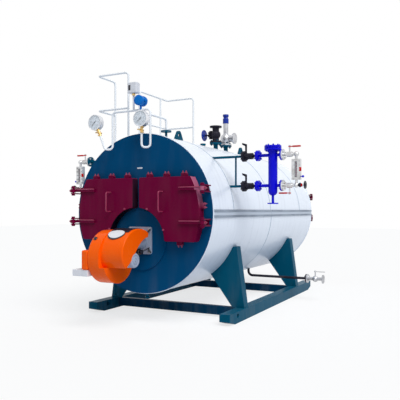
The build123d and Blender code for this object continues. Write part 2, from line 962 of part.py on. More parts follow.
def pressure_gauge(x, turn_x):
    """Round dial gauge facing forward."""
    centre = gauge_centre(x, turn_x)
    back = centre + Vector(0, gauge_back, 0)
    face = back - Vector(0, gauge_depth - gauge_recess, 0)
    case = rod(back, FRONT, gauge_radius, gauge_depth)
    return case - rod(face, FRONT, gauge_radius - gauge_rim, gauge_recess)


def pressure_switch():
    """Pressure switch box on a stem above the header."""
    low = (switch_x - switch_width / 2, manifold_y - switch_depth / 2, level(switch_stem_top))
    high = (switch_x + switch_width / 2, manifold_y + switch_depth / 2, low[2] + switch_height)
    stem = rod((switch_x, manifold_y, level(header_z)), UP, switch_stem_radius, low[2] - level(header_z))
    header = rod((left_leg_x, manifold_y, level(header_z)), RIGHT, manifold_radius, right_leg_x - left_leg_x)
    return rounded_box(low, high, switch_round) + (stem - header)


def pressure_transmitter():
    """Round pressure transmitter with screwed caps, on a stem above the header."""
    middle = level(transmitter_z)
    half = transmitter_length / 2
    body = rod((transmitter_x, manifold_y + half, middle), FRONT, transmitter_radius, transmitter_length)
    for end, direction in ((half, FRONT), (-half, REAR)):
        start = (transmitter_x, manifold_y + end, middle)
        body += rod(start, direction, transmitter_cap_radius, transmitter_cap_length)
    start = (transmitter_x, manifold_y, level(header_z))
    stem = rod(start, UP, transmitter_stem_radius, middle - level(header_z))
    header = rod((left_leg_x, manifold_y, level(header_z)), RIGHT, manifold_radius, right_leg_x - left_leg_x)
    return body + (stem - header)


def guard_rail(plan, posts):
    """Walkway rail: a top rail bent down into its end posts, a mid rail and any posts between."""
    floor = axis_height
    top = [(x, y, level(rail_top_z)) for x, y in plan]
    (x0, y0), (x1, y1) = plan[0], plan[-1]
    rail = pipe([(x0, y0, floor)] + top + [(x1, y1, floor)], rail_pipe_radius, rail_bend)
    rail += pipe([(x, y, level(rail_mid_z)) for x, y in plan], rail_pipe_radius, rail_bend)
    for x, y in posts:
        rail += rod((x, y, floor), UP, rail_pipe_radius, rail_top_z)
    return rail - shell_core()


def front_railing():
    """Rail around the walkway's front corner."""
    plan = [(rail_end_x, front_rail_y), (rail_side_x, front_rail_y), (rail_side_x, front_rail_end_y)]
    return guard_rail(plan, [])


def rear_railing():
    """Rail along the walkway's side and around its rear corner."""
    plan = [(rail_side_x, rear_rail_start_y), (rail_side_x, rear_rail_y), (rail_end_x, rear_rail_y)]
    return guard_rail(plan, [(rail_side_x, rear_rail_mid_y)])


def level_pipes():
    """Level pipes from the shell on both sides, the right pair joined by a tie."""
    right = []
    left = []
    for z in level_heights:
        start = (0, right_level_y, level(z))
        right.append(rod(start, RIGHT, level_pipe_radius, column_valve_x))
        start = (0, left_level_y, level(z))
        left_pipe = rod(start, LEFT, level_pipe_radius, left_flange_x)
        end = (-left_flange_x, left_level_y, level(z))
        left_pipe += rod(end, RIGHT, small_flange_radius, small_flange_thickness)
        left.append(left_pipe - shell_core())
    high, low = level_heights
    tie = rod((shell_radius + tie_gap, right_level_y, level(low)), UP, tie_radius, high - low)
    return [right[0] + right[1] + tie - shell_core()] + left


def column_valve(z):
    """Lever valve: flange pair, barrel, neck and a stem toward the front."""
    start = (column_valve_x, right_level_y, level(z))
    valve = rod(start, RIGHT, small_flange_radius, 2 * small_flange_thickness)
    valve += rod(start, RIGHT, valve_neck_radius, column_valve_length)
    barrel_start = column_valve_x + 2 * small_flange_thickness
    barrel_length = 2 * (lever_x - barrel_start)
    valve += rod((barrel_start, right_level_y, level(z)), RIGHT, valve_barrel_radius, barrel_length)
    stem_length = valve_stem_reach + lever_thickness
    valve += rod((lever_x, right_level_y, level(z)), FRONT, valve_stem_radius, stem_length)
    return valve


def column_valves():
    """The upper and lower lever valves of the water column."""
    return [column_valve(z) for z in level_heights]


def column_lever(z):
    """Flat lever, upright at rest, with a bent tip."""
    origin = (lever_x, right_level_y - valve_stem_reach, level(z))
    plane = Plane(origin=origin, x_dir=RIGHT, z_dir=FRONT)
    half = lever_width / 2
    outline = Circle(lever_hub_radius)
    outline += Pos(0, lever_length / 2) * Rectangle(lever_width, lever_length)
    tip = Polyline(
        (half, lever_length),
        (-half - lever_hook, lever_length + lever_hook / 2),
        (-half - lever_hook, lever_length + lever_hook / 2 - lever_width),
        (-half, lever_length - lever_width),
        (half, lever_length - lever_width),
        close=True,
    )
    outline += make_face(tip)
    outline -= Circle(valve_stem_radius + pin_clearance)
    return extrude(plane * outline, amount=lever_thickness)


def water_column():
    """Water column: dished vessel with a flanged top, two inlets, two outlets and a drain tail."""
    centre = (column_x, right_level_y)
    bottom = level(column_bottom)
    vessel = rod((*centre, bottom), UP, column_radius, level(column_top) - bottom)
    squash = column_dish / column_radius
    dish = Pos(*centre, bottom) * scale(Sphere(column_radius), by=(1, 1, squash))
    vessel += dish
    pair = 2 * column_flange_thickness + column_flange_gap
    vessel += rod((*centre, level(column_top)), UP, column_radius, pair)
    for start in (column_top, column_top + column_flange_thickness + column_flange_gap):
        vessel += rod((*centre, level(start)), UP, column_flange_radius, column_flange_thickness)
    tail = level(column_tail_bottom)
    vessel += rod((*centre, tail), UP, column_tail_radius, bottom - tail)
    vessel += rod((*centre, tail), DOWN, column_tail_disc_radius, column_tail_disc_thickness)
    inlet = column_valve_x + column_valve_length
    for z in level_heights:
        start = (inlet, right_level_y, level(z))
        vessel += rod(start, RIGHT, valve_neck_radius, column_out_x - inlet)
        vessel += rod(start, RIGHT, small_flange_radius, 2 * small_flange_thickness)
        end = (column_out_x, right_level_y, level(z))
        vessel += rod(end, LEFT, small_flange_radius, small_flange_thickness)
    return vessel


def gauge_cock_set():
    """Upper and lower cock of a gauge glass, measured from its flange face along +X."""
    cocks = []
    high, low = level_heights
    for z, toward in ((high, DOWN), (low, UP)):
        away = UP if toward == DOWN else DOWN
        start = (0, 0, level(z))
        cock = rod(start, RIGHT, small_flange_radius, small_flange_thickness)
        cock += rod(start, RIGHT, cock_pipe_radius, glass_offset + cock_pipe_radius)
        body = (cock_lever_offset - cock_body_length / 2, 0, level(z))
        cock += rod(body, RIGHT, cock_body_radius, cock_body_length)
        edge = glass_top if toward == DOWN else glass_bottom
        cock += rod((glass_offset, 0, level(z)), toward, cock_pipe_radius, abs(z - edge))
        cock += Pos(glass_offset, 0, level(z)) * Sphere(cock_body_radius)
        stem = (cock_lever_offset, 0, level(z))
        cock += rod(stem, away, cock_stem_radius, cock_lever_rise + cock_lever_thickness)
        cocks.append(cock)
    lower_stem = drain_wheel_offset - glass_offset
    cocks[1] += rod((glass_offset, 0, level(low)), RIGHT, cock_stem_radius, lower_stem)
    return cocks


def glass_frame():
    """Gauge glass frame with a sight slot on its front, measured from the flange face."""
    half_width = glass_width / 2
    half_depth = glass_depth / 2
    low = (glass_offset - half_width, -half_depth, level(glass_bottom))
    high = (glass_offset + half_width, half_depth, level(glass_top))
    half_slot = glass_slot_width / 2
    slot_low = (glass_offset - half_slot, -half_depth, low[2] + glass_slot_margin)
    slot_high = (glass_offset + half_slot, glass_slot_depth - half_depth, high[2] - glass_slot_margin)
    return block(low, high) - block(slot_low, slot_high)


def cock_lever(z, away, reach):
    """Flat lever on a cock's stem, measured from the flange face."""
    start = (cock_lever_offset, 0, level(z) + away[2] * cock_lever_rise)
    plane = Plane(origin=start, x_dir=RIGHT, z_dir=away)
    outline = Circle(cock_hub_radius)
    outline += Pos(reach * cock_lever_length / 2, 0) * Rectangle(cock_lever_length, cock_lever_width)
    outline -= Circle(cock_stem_radius + pin_clearance)
    return extrude(plane * outline, amount=cock_lever_thickness)


def drain_wheel():
    """Small handwheel at the end of the lower cock, measured from the flange face."""
    start = (drain_wheel_offset, 0, level(level_heights[1]))
    return rod(start, RIGHT, drain_wheel_radius, drain_wheel_width)


def to_right_gauge(solid):
    """Move a gauge piece to the water column's outlet flanges."""
    return Pos(column_out_x, right_level_y, 0) * solid


def to_left_gauge(solid):
    """Mirror a gauge piece onto the left level pipes."""
    return Pos(-left_flange_x, left_level_y, 0) * mirror(solid, about=Plane.YZ)


def blowdown_pipe():
    """Blowdown pipe from the shell's bottom, bent to the right, with its end flange."""
    points = [
        (blowdown_leave_x, blowdown_y, axis_height),
        (blowdown_leave_x, blowdown_y, blowdown_height),
        (blowdown_flange_x, blowdown_y, blowdown_height),
    ]
    line = pipe(points, blowdown_radius, blowdown_bend)
    line += rod(points[-1], LEFT, small_flange_radius, small_flange_thickness)
    return line - shell_core()


def blowdown_valve():
    """Flanged blowdown valve with an upright stem."""
    start = (blowdown_flange_x, blowdown_y, blowdown_height)
    end = (blowdown_flange_x + blowdown_valve_length, blowdown_y, blowdown_height)
    middle = (blowdown_flange_x + blowdown_valve_length / 2, blowdown_y, blowdown_height)
    valve = rod(start, RIGHT, blowdown_neck_radius, blowdown_valve_length)
    valve += rod(start, RIGHT, small_flange_radius, small_flange_thickness)
    valve += rod(end, LEFT, small_flange_radius, small_flange_thickness)
    valve += Pos(*middle) * Sphere(blowdown_body_radius)
    valve += rod(middle, UP, cock_stem_radius, blowdown_lever_rise + cock_lever_thickness)
    valve -= bolt_holes(end, LEFT, small_bolt_circle_radius, small_bolt_hole_radius, small_flange_thickness)
    return valve


def blowdown_lever():
    """Flat lever on the blowdown valve's stem."""
    middle = blowdown_flange_x + blowdown_valve_length / 2
    plane = Plane(origin=(middle, blowdown_y, blowdown_height + blowdown_lever_rise))
    outline = Circle(cock_hub_radius)
    outline += Pos(blowdown_lever_length / 2, 0) * Rectangle(blowdown_lever_length, cock_lever_width)
    outline -= Circle(cock_stem_radius + pin_clearance)
    return extrude(plane * outline, amount=cock_lever_thickness)


def drain_pipes():
    """Side drain down to the left rail, and the capped stub under the front."""
    foot = rail_height + drain_gap
    side = rod((drain_inset - shell_radius, drain_y, foot), UP, drain_radius, axis_height - foot)
    start = (stub_x, stub_y, axis_height)
    stub = rod(start, DOWN, stub_radius, shell_radius + stub_length)
    cap = (stub_x, stub_y, level(-shell_radius) - stub_length)
    stub += rod(cap, UP, stub_cap_radius, stub_cap_length)
    return [side - shell_core(), stub - shell_core()]


def build():
    """All nodes by name, in the modelling frame."""
    cocks = gauge_cock_set()
    high, low = level_heights
    nodes = {
        "shell": shell(),
        "side_bands": side_bands(),
        "front_plate": front_plate(),
        "rear_plate": rear_plate(),
        "furnace_cover": furnace_cover(),
        "hinge_brackets": hinge_brackets(),
        "rear_doors": rear_doors(),
        "flue_outlet": flue_outlet(),
        "burner_flange": burner_flange(),
        "burner_neck": burner_neck(),
        "burner_drum": burner_drum(),
        "burner_hood": burner_hood(),
        "burner_motor": burner_motor(),
        "burner_side_box": burner_side_box(),
        "terminal_boxes": terminal_boxes(),
        "right_rail": right_rail(),
        "left_rail": mirrored(right_rail()),
        "cross_beams": cross_beams(),
        "front_saddle": saddle(saddle_places[0]),
        "rear_saddle": saddle(saddle_places[1]),
        "lifting_lugs": lifting_lugs(),
        "top_nozzles": top_nozzles(),
        "steam_valve_body": steam_valve_body(),
        "steam_handwheel": steam_handwheel(),
        "safety_valve_body": safety_valve_body(),
        "safety_cap": safety_cap(),
        "gauge_manifold": gauge_manifold(),
        "gauge_cocks": gauge_cocks(),
        "right_pressure_gauge": pressure_gauge(right_gauge_x, right_gauge_x),
        "left_pressure_gauge": pressure_gauge(left_rise_x, left_turn_x),
        "pressure_switch": pressure_switch(),
        "pressure_transmitter": pressure_transmitter(),
        "front_railing": front_railing(),
        "rear_railing": rear_railing(),
        "level_pipes": level_pipes(),
        "column_valves": column_valves(),
        "upper_column_lever": column_lever(high),
        "lower_column_lever": column_lever(low),
        "water_column": water_column(),
        "right_gauge_cocks": [to_right_gauge(cock) for cock in cocks],
        "right_gauge_glass": to_right_gauge(glass_frame()),
        "right_upper_cock_lever": to_right_gauge(cock_lever(high, UP, 1)),
        "right_lower_cock_lever": to_right_gauge(cock_lever(low, DOWN, -1)),
        "right_drain_wheel": to_right_gauge(drain_wheel()),
        "left_gauge_cocks": [to_left_gauge(cock) for cock in cocks],
        "left_gauge_glass": to_left_gauge(glass_frame()),
        "left_upper_cock_lever": to_left_gauge(cock_lever(high, UP, 1)),
        "left_lower_cock_lever": to_left_gauge(cock_lever(low, DOWN, -1)),
        "left_drain_wheel": to_left_gauge(drain_wheel()),
        "blowdown_pipe": blowdown_pipe(),
        "blowdown_valve": blowdown_valve(),
        "blowdown_lever": blowdown_lever(),
        "drain_pipes": drain_pipes(),
    }
    for side, place in (("right", lambda solid: solid), ("left", mirrored)):
        nodes[f"{side}_door"] = place(right_door())
        nodes[f"{side}_door_lining"] = place(right_door_lining())
        nodes[f"{side}_door_handle"] = place(right_door_handle())
    return {name: piece if isinstance(piece, list) else [piece] for name, piece in nodes.items()}


nodes = build()
bounds = Compound([solid for solids in nodes.values() for solid in solids]).bounding_box()
floor_point = Vector(bounds.center().X, bounds.center().Y, bounds.min.Z)

os.makedirs("parts", exist_ok=True)
for name, solids in nodes.items():
    placed = [Pos(*(-floor_point)) * solid for solid in solids]
    export_step(placed[0] if len(placed) == 1 else Compound(placed), f"parts/{name}.step")
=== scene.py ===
"""Looks of a horizontal fire-tube boiler with a gas oil burner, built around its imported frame."""

import json
import logging
import math
from contextlib import contextmanager
from dataclasses import dataclass
from enum import Enum, IntEnum
from typing import Iterable, Iterator, Sequence

import bpy
from mathutils import Matrix, Vector


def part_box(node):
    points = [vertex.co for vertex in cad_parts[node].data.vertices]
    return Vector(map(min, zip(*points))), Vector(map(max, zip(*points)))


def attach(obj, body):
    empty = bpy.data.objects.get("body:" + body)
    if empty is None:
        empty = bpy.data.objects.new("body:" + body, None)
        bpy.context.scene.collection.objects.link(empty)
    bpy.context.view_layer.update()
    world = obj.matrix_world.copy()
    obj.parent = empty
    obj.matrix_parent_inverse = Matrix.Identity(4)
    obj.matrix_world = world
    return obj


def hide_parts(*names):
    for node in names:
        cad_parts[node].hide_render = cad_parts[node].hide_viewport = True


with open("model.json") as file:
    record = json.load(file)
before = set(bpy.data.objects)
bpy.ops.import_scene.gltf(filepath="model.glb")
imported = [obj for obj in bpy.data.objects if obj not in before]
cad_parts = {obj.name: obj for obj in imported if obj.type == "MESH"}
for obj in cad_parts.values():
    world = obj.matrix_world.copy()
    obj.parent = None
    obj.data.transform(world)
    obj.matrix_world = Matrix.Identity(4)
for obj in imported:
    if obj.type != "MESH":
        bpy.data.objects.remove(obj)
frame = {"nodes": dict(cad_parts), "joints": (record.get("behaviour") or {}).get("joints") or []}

LOG = logging.getLogger("boiler")
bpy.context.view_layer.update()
ROOT = "boiler"
SIDES = {"right": 1, "left": -1}
LEVELS = ("upper", "lower")

Pair = tuple[float, float]
Place = tuple[float, float, float]
Color = tuple[float, float, float]
Profile = Sequence[Pair]
Piece = bpy.types.Object

RIGHT = Vector((1, 0, 0))
LEFT = Vector((-1, 0, 0))
FRONT = Vector((0, -1, 0))
REAR = Vector((0, 1, 0))
UP = Vector((0, 0, 1))
DOWN = Vector((0, 0, -1))
QUARTER = math.pi / 2


class Facets(IntEnum):
    """Faces around a turned piece."""

    NEEDLE = 4
    HEX = 6
    SCREW = 8
    ROD = 10
    BAR = 12
    KNOB = 16
    HUB = 20
    ROUND = 24
    WHEEL = 40
    DIAL = 48
    SHELL = 128


def joint_place(name: str) -> Vector:
    """Where a joint of the frame turns."""
    return next(Vector(joint["pos_m"]) for joint in frame["joints"] if joint["name"] == name)


@dataclass(frozen=True)
class Datum:
    """The shell's axis at the front plate's face, from which places are measured."""

    origin: Vector
    radius: float
    length: float
    furnace_drop: float = 0.285

    @classmethod
    def from_frame(cls) -> "Datum":
        """Read the shell's axis from the frame.

        Returns:
            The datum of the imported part.
        """
        low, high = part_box("front_plate")
        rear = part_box("rear_plate")[1].y
        middle = (low + high) / 2
        return cls(Vector((middle.x, low.y, middle.z)), (high.x - low.x) / 2, rear - low.y)

    def at(self, x: float, y: float, z: float) -> Vector:
        """A point measured from the datum."""
        return self.origin + Vector((x, y, z))

    def furnace(self) -> Vector:
        """The furnace's axis at the front plate's face."""
        return self.at(0, 0, -self.furnace_drop)


DATUM = Datum.from_frame()


@dataclass(frozen=True)
class Grain:
    """A noise pattern: features per metre, octaves of finer noise and the scale along each axis."""

    scale: float
    detail: float
    stretch: Place = (1.0, 1.0, 1.0)

    MIDDLE = 0.5


class Wire:
    """A shader socket that takes part in Python arithmetic."""

    def __init__(self, graph: "Graph", socket: bpy.types.NodeSocket) -> None:
        """Keep the socket and the graph that it belongs to."""
        self.graph = graph
        self.socket = socket

    def _math(self, operation: str, first: "Wire | float", second: "Wire | float") -> "Wire":
        """Add one Math node."""
        return self.graph.node("ShaderNodeMath", {"operation": operation}, {0: first, 1: second})

    def __add__(self, other: "Wire | float") -> "Wire":
        """Sum."""
        return self._math("ADD", self, other)

    def __radd__(self, other: float) -> "Wire":
        """Sum with a number first."""
        return self._math("ADD", other, self)

    def __sub__(self, other: "Wire | float") -> "Wire":
        """Difference."""
        return self._math("SUBTRACT", self, other)

    def __rsub__(self, other: float) -> "Wire":
        """Difference with a number first."""
        return self._math("SUBTRACT", other, self)

    def __mul__(self, other: "Wire | float") -> "Wire":
        """Product."""
        return self._math("MULTIPLY", self, other)

    def __rmul__(self, other: float) -> "Wire":
        """Product with a number first."""
        return self._math("MULTIPLY", other, self)

    def __abs__(self) -> "Wire":
        """Value without its sign."""
        return self.graph.node("ShaderNodeMath", {"operation": "ABSOLUTE"}, {0: self})

    def between(self, low: float, high: float) -> "Wire":
        """Rise from 0 at low to 1 at high, held at both ends.

        Args:
            low: Value that gives 0.
            high: Value that gives 1.

        Returns:
            The mapped value.
        """
        return self.graph.node("ShaderNodeMapRange", {"clamp": True}, {0: self, 1: low, 2: high})

    def past(self, start: float, edge: float) -> "Wire":
        """Rise from 0 to 1 across an edge that begins at start."""
        return self.between(start, start + edge)


class Graph:
    """A material's node tree, written as expressions."""

    def __init__(self, name: str) -> None:
        """Start a material with one Principled shader."""
        self.material = bpy.data.materials.new(name)
        self.material.use_nodes = True
        self.tree = self.material.node_tree
        self.shader = self.tree.nodes["Principled BSDF"]
        self.place = self.node("ShaderNodeTexCoord", {}, {}, "Object")

    def node(self, kind: str, settings: dict, sockets: dict, output: "str | int" = 0) -> Wire:
        """Add a node, set it up and connect it.

        Args:
            kind: Blender's node type.
            settings: Properties of the node, set first.
            sockets: Values or wires for its inputs, by name or number.
            output: Name or number of the output to return.

        Returns:
            The wire that leaves the node.
        """
        node = self.tree.nodes.new(kind)
        for key, value in settings.items():
            setattr(node, key, value)
        for key, value in sockets.items():
            if isinstance(value, Wire):
                self.tree.links.new(value.socket, node.inputs[key])
            else:
                node.inputs[key].default_value = value
        return Wire(self, node.outputs[output])

    def noise(self, grain: Grain) -> Wire:
        """Cloudy noise over the piece.

        Args:
            grain: The pattern's size and stretch.

        Returns:
            A value around one half.
        """
        vector = self.place
        if grain.stretch != Grain.stretch:
            vector = self.node("ShaderNodeMapping", {}, {"Vector": vector, "Scale": grain.stretch})
        sockets = {"Vector": vector, "Scale": grain.scale, "Detail": grain.detail}
        return self.node("ShaderNodeTexNoise", {}, sockets)

    def cells(self, scale: float) -> Wire:
        """Distance to the nearest of scattered points, for grit and specks."""
        return self.node("ShaderNodeTexVoronoi", {}, {"Vector": self.place, "Scale": scale})

    def height(self) -> Wire:
        """Height above the floor."""
        return self.node("ShaderNodeSeparateXYZ", {}, {0: self.place}, "Z")

    def across(self) -> Wire:
        """Distance to the right of the shell's axis."""
        return self.node("ShaderNodeSeparateXYZ", {}, {0: self.place}, "X") - DATUM.origin.x

    def radius(self, centre: Vector) -> Wire:
        """Distance from a centre as the front shows it.

        Args:
            centre: A point on the axis to measure from, which runs front to rear.

        Returns:
            The distance in metres.
        """
        sockets = {0: self.place, 1: (1, 0, 1)}
        flat = self.node("ShaderNodeVectorMath", {"operation": "MULTIPLY"}, sockets)
        sockets = {0: flat, 1: (centre.x, 0, centre.z)}
        return self.node("ShaderNodeVectorMath", {"operation": "DISTANCE"}, sockets, "Value")

    def mix(self, factor: Wire, first: "Wire | Color", second: "Wire | Color") -> Wire:
        """Blend two colours.

        Args:
            factor: Share of the second colour.
            first: Colour at 0.
            second: Colour at 1.

        Returns:
            The blended colour.
        """
        colors = [c if isinstance(c, Wire) else (*c, 1.0) for c in (first, second)]
        # The Mix node's colours come after its numbers and vectors.
        sockets = {0: factor, 6: colors[0], 7: colors[1]}
        return self.node("ShaderNodeMix", {"data_type": "RGBA"}, sockets, 2)

    def bump(self, height: Wire, strength: float, depth: float) -> Wire:
        """Normal from a height.

        Args:
            height: Height value.
            strength: How much it shows.
            depth: Depth of a full step in metres.

        Returns:
            The normal.
        """
        sockets = {"Height": height, "Strength": strength, "Distance": depth}
        return self.node("ShaderNodeBump", {}, sockets)

    def finish(self, **sockets: "Wire | float | tuple") -> bpy.types.Material:
        """Feed the shader and give the material.

        Args:
            sockets: Values by socket name, with _ for a space.

        Returns:
            The finished material.
        """
        for key, value in sockets.items():
            socket = self.shader.inputs[key.replace("_", " ")]
            if isinstance(value, Wire):
                self.tree.links.new(value.socket, socket)
            else:
                socket.default_value = (*value, 1.0) if isinstance(value, tuple) else value
        return self.material


@dataclass(frozen=True)
class Paint:
    """Sprayed paint over steel: slight cloudiness, orange peel, specks of wear and floor dust."""

    name: str
    color: Color
    worn: Color
    roughness: float = 0.34
    shine: float = 0.08
    wear: float = 0.25
    dust: float = 0.12
    peel: float = 0.05
    cloud: Grain = Grain(4.0, 5.0)
    cloud_worn: Pair = (0.44, 0.72)
    cloud_dulling: float = 0.12
    fleck: Grain = Grain(55.0, 3.0)
    fleck_worn: Pair = (0.66, 0.74)
    fleck_share: float = 0.6
    dust_color: Color = (0.34, 0.31, 0.27)
    dust_heights: Pair = (0.02, 0.55)
    dust_aloft: float = 0.2
    dust_dulling: float = 0.8
    streak: Grain = Grain(9.0, 4.0, (1.0, 1.0, 0.18))
    streak_dusty: Pair = (0.46, 0.74)
    skin: Grain = Grain(260.0, 1.0)
    skin_share: float = 0.6
    skin_depth: float = 0.002

    def ground(self, graph: Graph) -> "Wire | Color":
        """The fresh paint's colour."""
        return self.color

    def build(self) -> bpy.types.Material:
        """Make the material.

        Returns:
            The material.
        """
        graph = Graph(self.name)
        cloud = graph.noise(self.cloud)
        fleck = graph.noise(self.fleck).between(*self.fleck_worn)
        streak = graph.noise(self.streak).between(*self.streak_dusty)
        worn = cloud.between(*self.cloud_worn) * self.wear + fleck * (self.wear * self.fleck_share)
        base = graph.mix(worn, self.ground(graph), self.worn)
        low = 1.0 - graph.height().between(*self.dust_heights)
        dust = (low * (1.0 - self.dust_aloft) + self.dust_aloft) * streak * self.dust
        rough = self.roughness + (cloud - Grain.MIDDLE) * self.cloud_dulling
        skin = graph.noise(self.skin) * self.skin_share + cloud
        return graph.finish(
            Base_Color=graph.mix(dust, base, self.dust_color),
            Roughness=rough + dust * self.dust_dulling,
            Normal=graph.bump(skin, self.peel, self.skin_depth),
            Specular_IOR_Level=self.shine,
        )


@dataclass(frozen=True)
class DoorPaint(Paint):
    """Door paint with painted shade on the meeting edges and the burner's arc, and a painted highlight
    on the right door's rim.
    """

    # Painted shade: near-black for the doors' meeting edges and the arc round the burner.
    soot: Color = (0.002, 0.004, 0.013)
    soot_half: float = 0.0405
    soot_radius: float = 0.3475
    # Painted highlight: lighter crimson along the right door's rim.
    rubbed: Color = (0.46, 0.13, 0.22)
    rubbed_start: float = 0.003
    rubbed_heights: Pair = (0.05, 0.14)
    edge: float = 0.003

    def ground(self, graph: Graph) -> Wire:
        """Fresh paint with a painted highlight on the right door's rim and painted shade on the meeting
        edges and arc.

        Args:
            graph: The material's node tree.

        Returns:
            The colour under the wear and dust.
        """
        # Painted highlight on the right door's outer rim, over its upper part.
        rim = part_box("right_door_lining")[1].x - DATUM.origin.x + self.rubbed_start
        outer = graph.radius(DATUM.origin).past(rim, self.edge)
        upper = (graph.height() - DATUM.origin.z).between(*self.rubbed_heights)
        right = graph.across().past(0.0, self.edge)
        color = graph.mix(outer * upper * right, self.color, self.rubbed)
        # Painted shade on the meeting edges and on the arc's inner wall round the burner.
        seam = 1.0 - abs(graph.across()).past(self.soot_half, self.edge)
        arc = 1.0 - graph.radius(DATUM.furnace()).past(self.soot_radius, self.edge)
        return graph.mix(seam + arc, color, self.soot)


@dataclass(frozen=True)
class Cladding:
    """Pale painted sheet, softly dented, with rain streaks down its sides."""

    name: str
    color: Color
    stain: Color
    roughness: float = 0.3
    metallic: float = 0.1
    coat: float = 0.3
    coat_roughness: float = 0.18
    cloud: Grain = Grain(1.6, 4.0)
    cloud_dulling: float = 0.14
    streak: Grain = Grain(5.0, 5.0, (1.0, 3.2, 0.35))
    streak_dirty: Pair = (0.52, 0.8)
    streak_share: float = 0.22
    scuff: Grain = Grain(34.0, 4.0, (1.0, 0.5, 1.0))
    scuff_dirty: Pair = (0.63, 0.74)
    scuff_share: float = 0.16
    scuff_height: float = 0.02
    dirt_dulling: float = 0.5
    splash_heights: Pair = (0.35, 0.9)
    splash_cloud: Pair = (0.4, 0.7)
    splash_share: float = 0.16
    dent: Grain = Grain(2.3, 2.0, (1.0, 0.7, 1.0))
    dent_strength: float = 0.25
    dent_depth: float = 0.012

    def build(self) -> bpy.types.Material:
        """Make the material.

        Returns:
            The material.
        """
        graph = Graph(self.name)
        cloud = graph.noise(self.cloud)
        streak = graph.noise(self.streak).between(*self.streak_dirty)
        scuff = graph.noise(self.scuff)
        dirt = streak * self.streak_share + scuff.between(*self.scuff_dirty) * self.scuff_share
        low = 1.0 - graph.height().between(*self.splash_heights)
        splash = low * cloud.between(*self.splash_cloud) * self.splash_share
        dents = graph.noise(self.dent) + scuff * self.scuff_height
        return graph.finish(
            Base_Color=graph.mix(dirt + splash, self.color, self.stain),
            Roughness=self.roughness + cloud * self.cloud_dulling + dirt * self.dirt_dulling,
            Metallic=self.metallic,
            Normal=graph.bump(dents, self.dent_strength, self.dent_depth),
            Coat_Weight=self.coat,
            Coat_Roughness=self.coat_roughness,
        )


@dataclass(frozen=True)
class RibbedBand:
    """Painted band along the shell's axis whose two ribs are darker than the strip between them."""

    name: str
    color: Color
    rib: Color
    rib_start: float = 0.0165
    edge: float = 0.002
    roughness: float = 0.38
    cloud: Grain = Grain(6.0, 5.0, (1.0, 0.4, 1.0))
    cloud_faded: Pair = (0.4, 0.8)
    cloud_dulling: float = 0.1
    fading: float = 0.6

    def build(self) -> bpy.types.Material:
        """Make the material.

        Returns:
            The material.
        """
        graph = Graph(self.name)
        ribs = abs(graph.height() - DATUM.origin.z).past(self.rib_start, self.edge)
        cloud = graph.noise(self.cloud)
        kept = 1.0 - cloud.between(*self.cloud_faded) * self.fading
        return graph.finish(
            Base_Color=graph.mix(ribs * kept, self.color, self.rib),
            Roughness=self.roughness + cloud * self.cloud_dulling,
        )


@dataclass(frozen=True)
class Metal:
    """Bare metal with fine scratches and tarnish."""

    name: str
    color: Color
    tarnish: Color
    roughness: float = 0.3
    cast: float = 0.0
    cloud: Grain = Grain(14.0, 5.0)
    cloud_tarnished: Pair = (0.42, 0.7)
    cloud_dulling: float = 0.2
    tarnish_share: float = 0.7
    scratch: Grain = Grain(420.0, 2.0)
    scratch_dulling: float = 0.06
    scratch_share: float = 0.5
    pit_scale: float = 380.0
    skin_strength: float = 0.08
    cast_strength: float = 0.2
    skin_depth: float = 0.001

    def build(self) -> bpy.types.Material:
        """Make the material.

        Returns:
            The material.
        """
        graph = Graph(self.name)
        cloud = graph.noise(self.cloud)
        scratch = graph.noise(self.scratch)
        tarnish = cloud.between(*self.cloud_tarnished) * self.tarnish_share
        rough = self.roughness + (cloud - Grain.MIDDLE) * self.cloud_dulling
        skin = scratch * self.scratch_share + graph.cells(self.pit_scale) * self.cast
        strength = self.skin_strength + self.cast_strength * self.cast
        return graph.finish(
            Base_Color=graph.mix(tarnish, self.color, self.tarnish),
            Roughness=rough + scratch * self.scratch_dulling,
            Metallic=1.0,
            Normal=graph.bump(skin, strength, self.skin_depth),
        )


@dataclass(frozen=True)
class Moulding:
    """Moulded plastic or rubber with a fine texture."""

    name: str
    color: Color
    soiled: Color
    roughness: float = 0.45
    cloud: Grain = Grain(11.0, 4.0)
    cloud_soiled: Pair = (0.5, 0.76)
    cloud_dulling: float = 0.14
    soil_share: float = 0.45
    skin: Grain = Grain(600.0, 2.0)
    skin_strength: float = 0.06
    skin_depth: float = 0.001

    def build(self) -> bpy.types.Material:
        """Make the material.

        Returns:
            The material.
        """
        graph = Graph(self.name)
        cloud = graph.noise(self.cloud)
        soil = cloud.between(*self.cloud_soiled) * self.soil_share
        return graph.finish(
            Base_Color=graph.mix(soil, self.color, self.soiled),
            Roughness=self.roughness + (cloud - Grain.MIDDLE) * self.cloud_dulling,
            Normal=graph.bump(graph.noise(self.skin), self.skin_strength, self.skin_depth),
        )


@dataclass(frozen=True)
class Refractory:
    """Pale castable lining with grit, pores and soot."""

    name: str
    color: Color
    soot: Color
    roughness: float = 0.93
    cloud: Grain = Grain(5.0, 6.0)
    cloud_sooty: Pair = (0.4, 0.72)
    soot_share: float = 0.75
    grit_scale: float = 130.0
    grit_height: float = 0.6
    pores: Pair = (0.25, 0.0)
    pore_share: float = 0.4
    skin_strength: float = 0.5
    skin_depth: float = 0.004

    def build(self) -> bpy.types.Material:
        """Make the material.

        Returns:
            The material.
        """
        graph = Graph(self.name)
        cloud = graph.noise(self.cloud)
        grit = graph.cells(self.grit_scale)
        base = graph.mix(cloud.between(*self.cloud_sooty) * self.soot_share, self.color, self.soot)
        skin = grit * self.grit_height + cloud
        return graph.finish(
            Base_Color=graph.mix(grit.between(*self.pores) * self.pore_share, base, self.soot),
            Roughness=self.roughness,
            Normal=graph.bump(skin, self.skin_strength, self.skin_depth),
        )


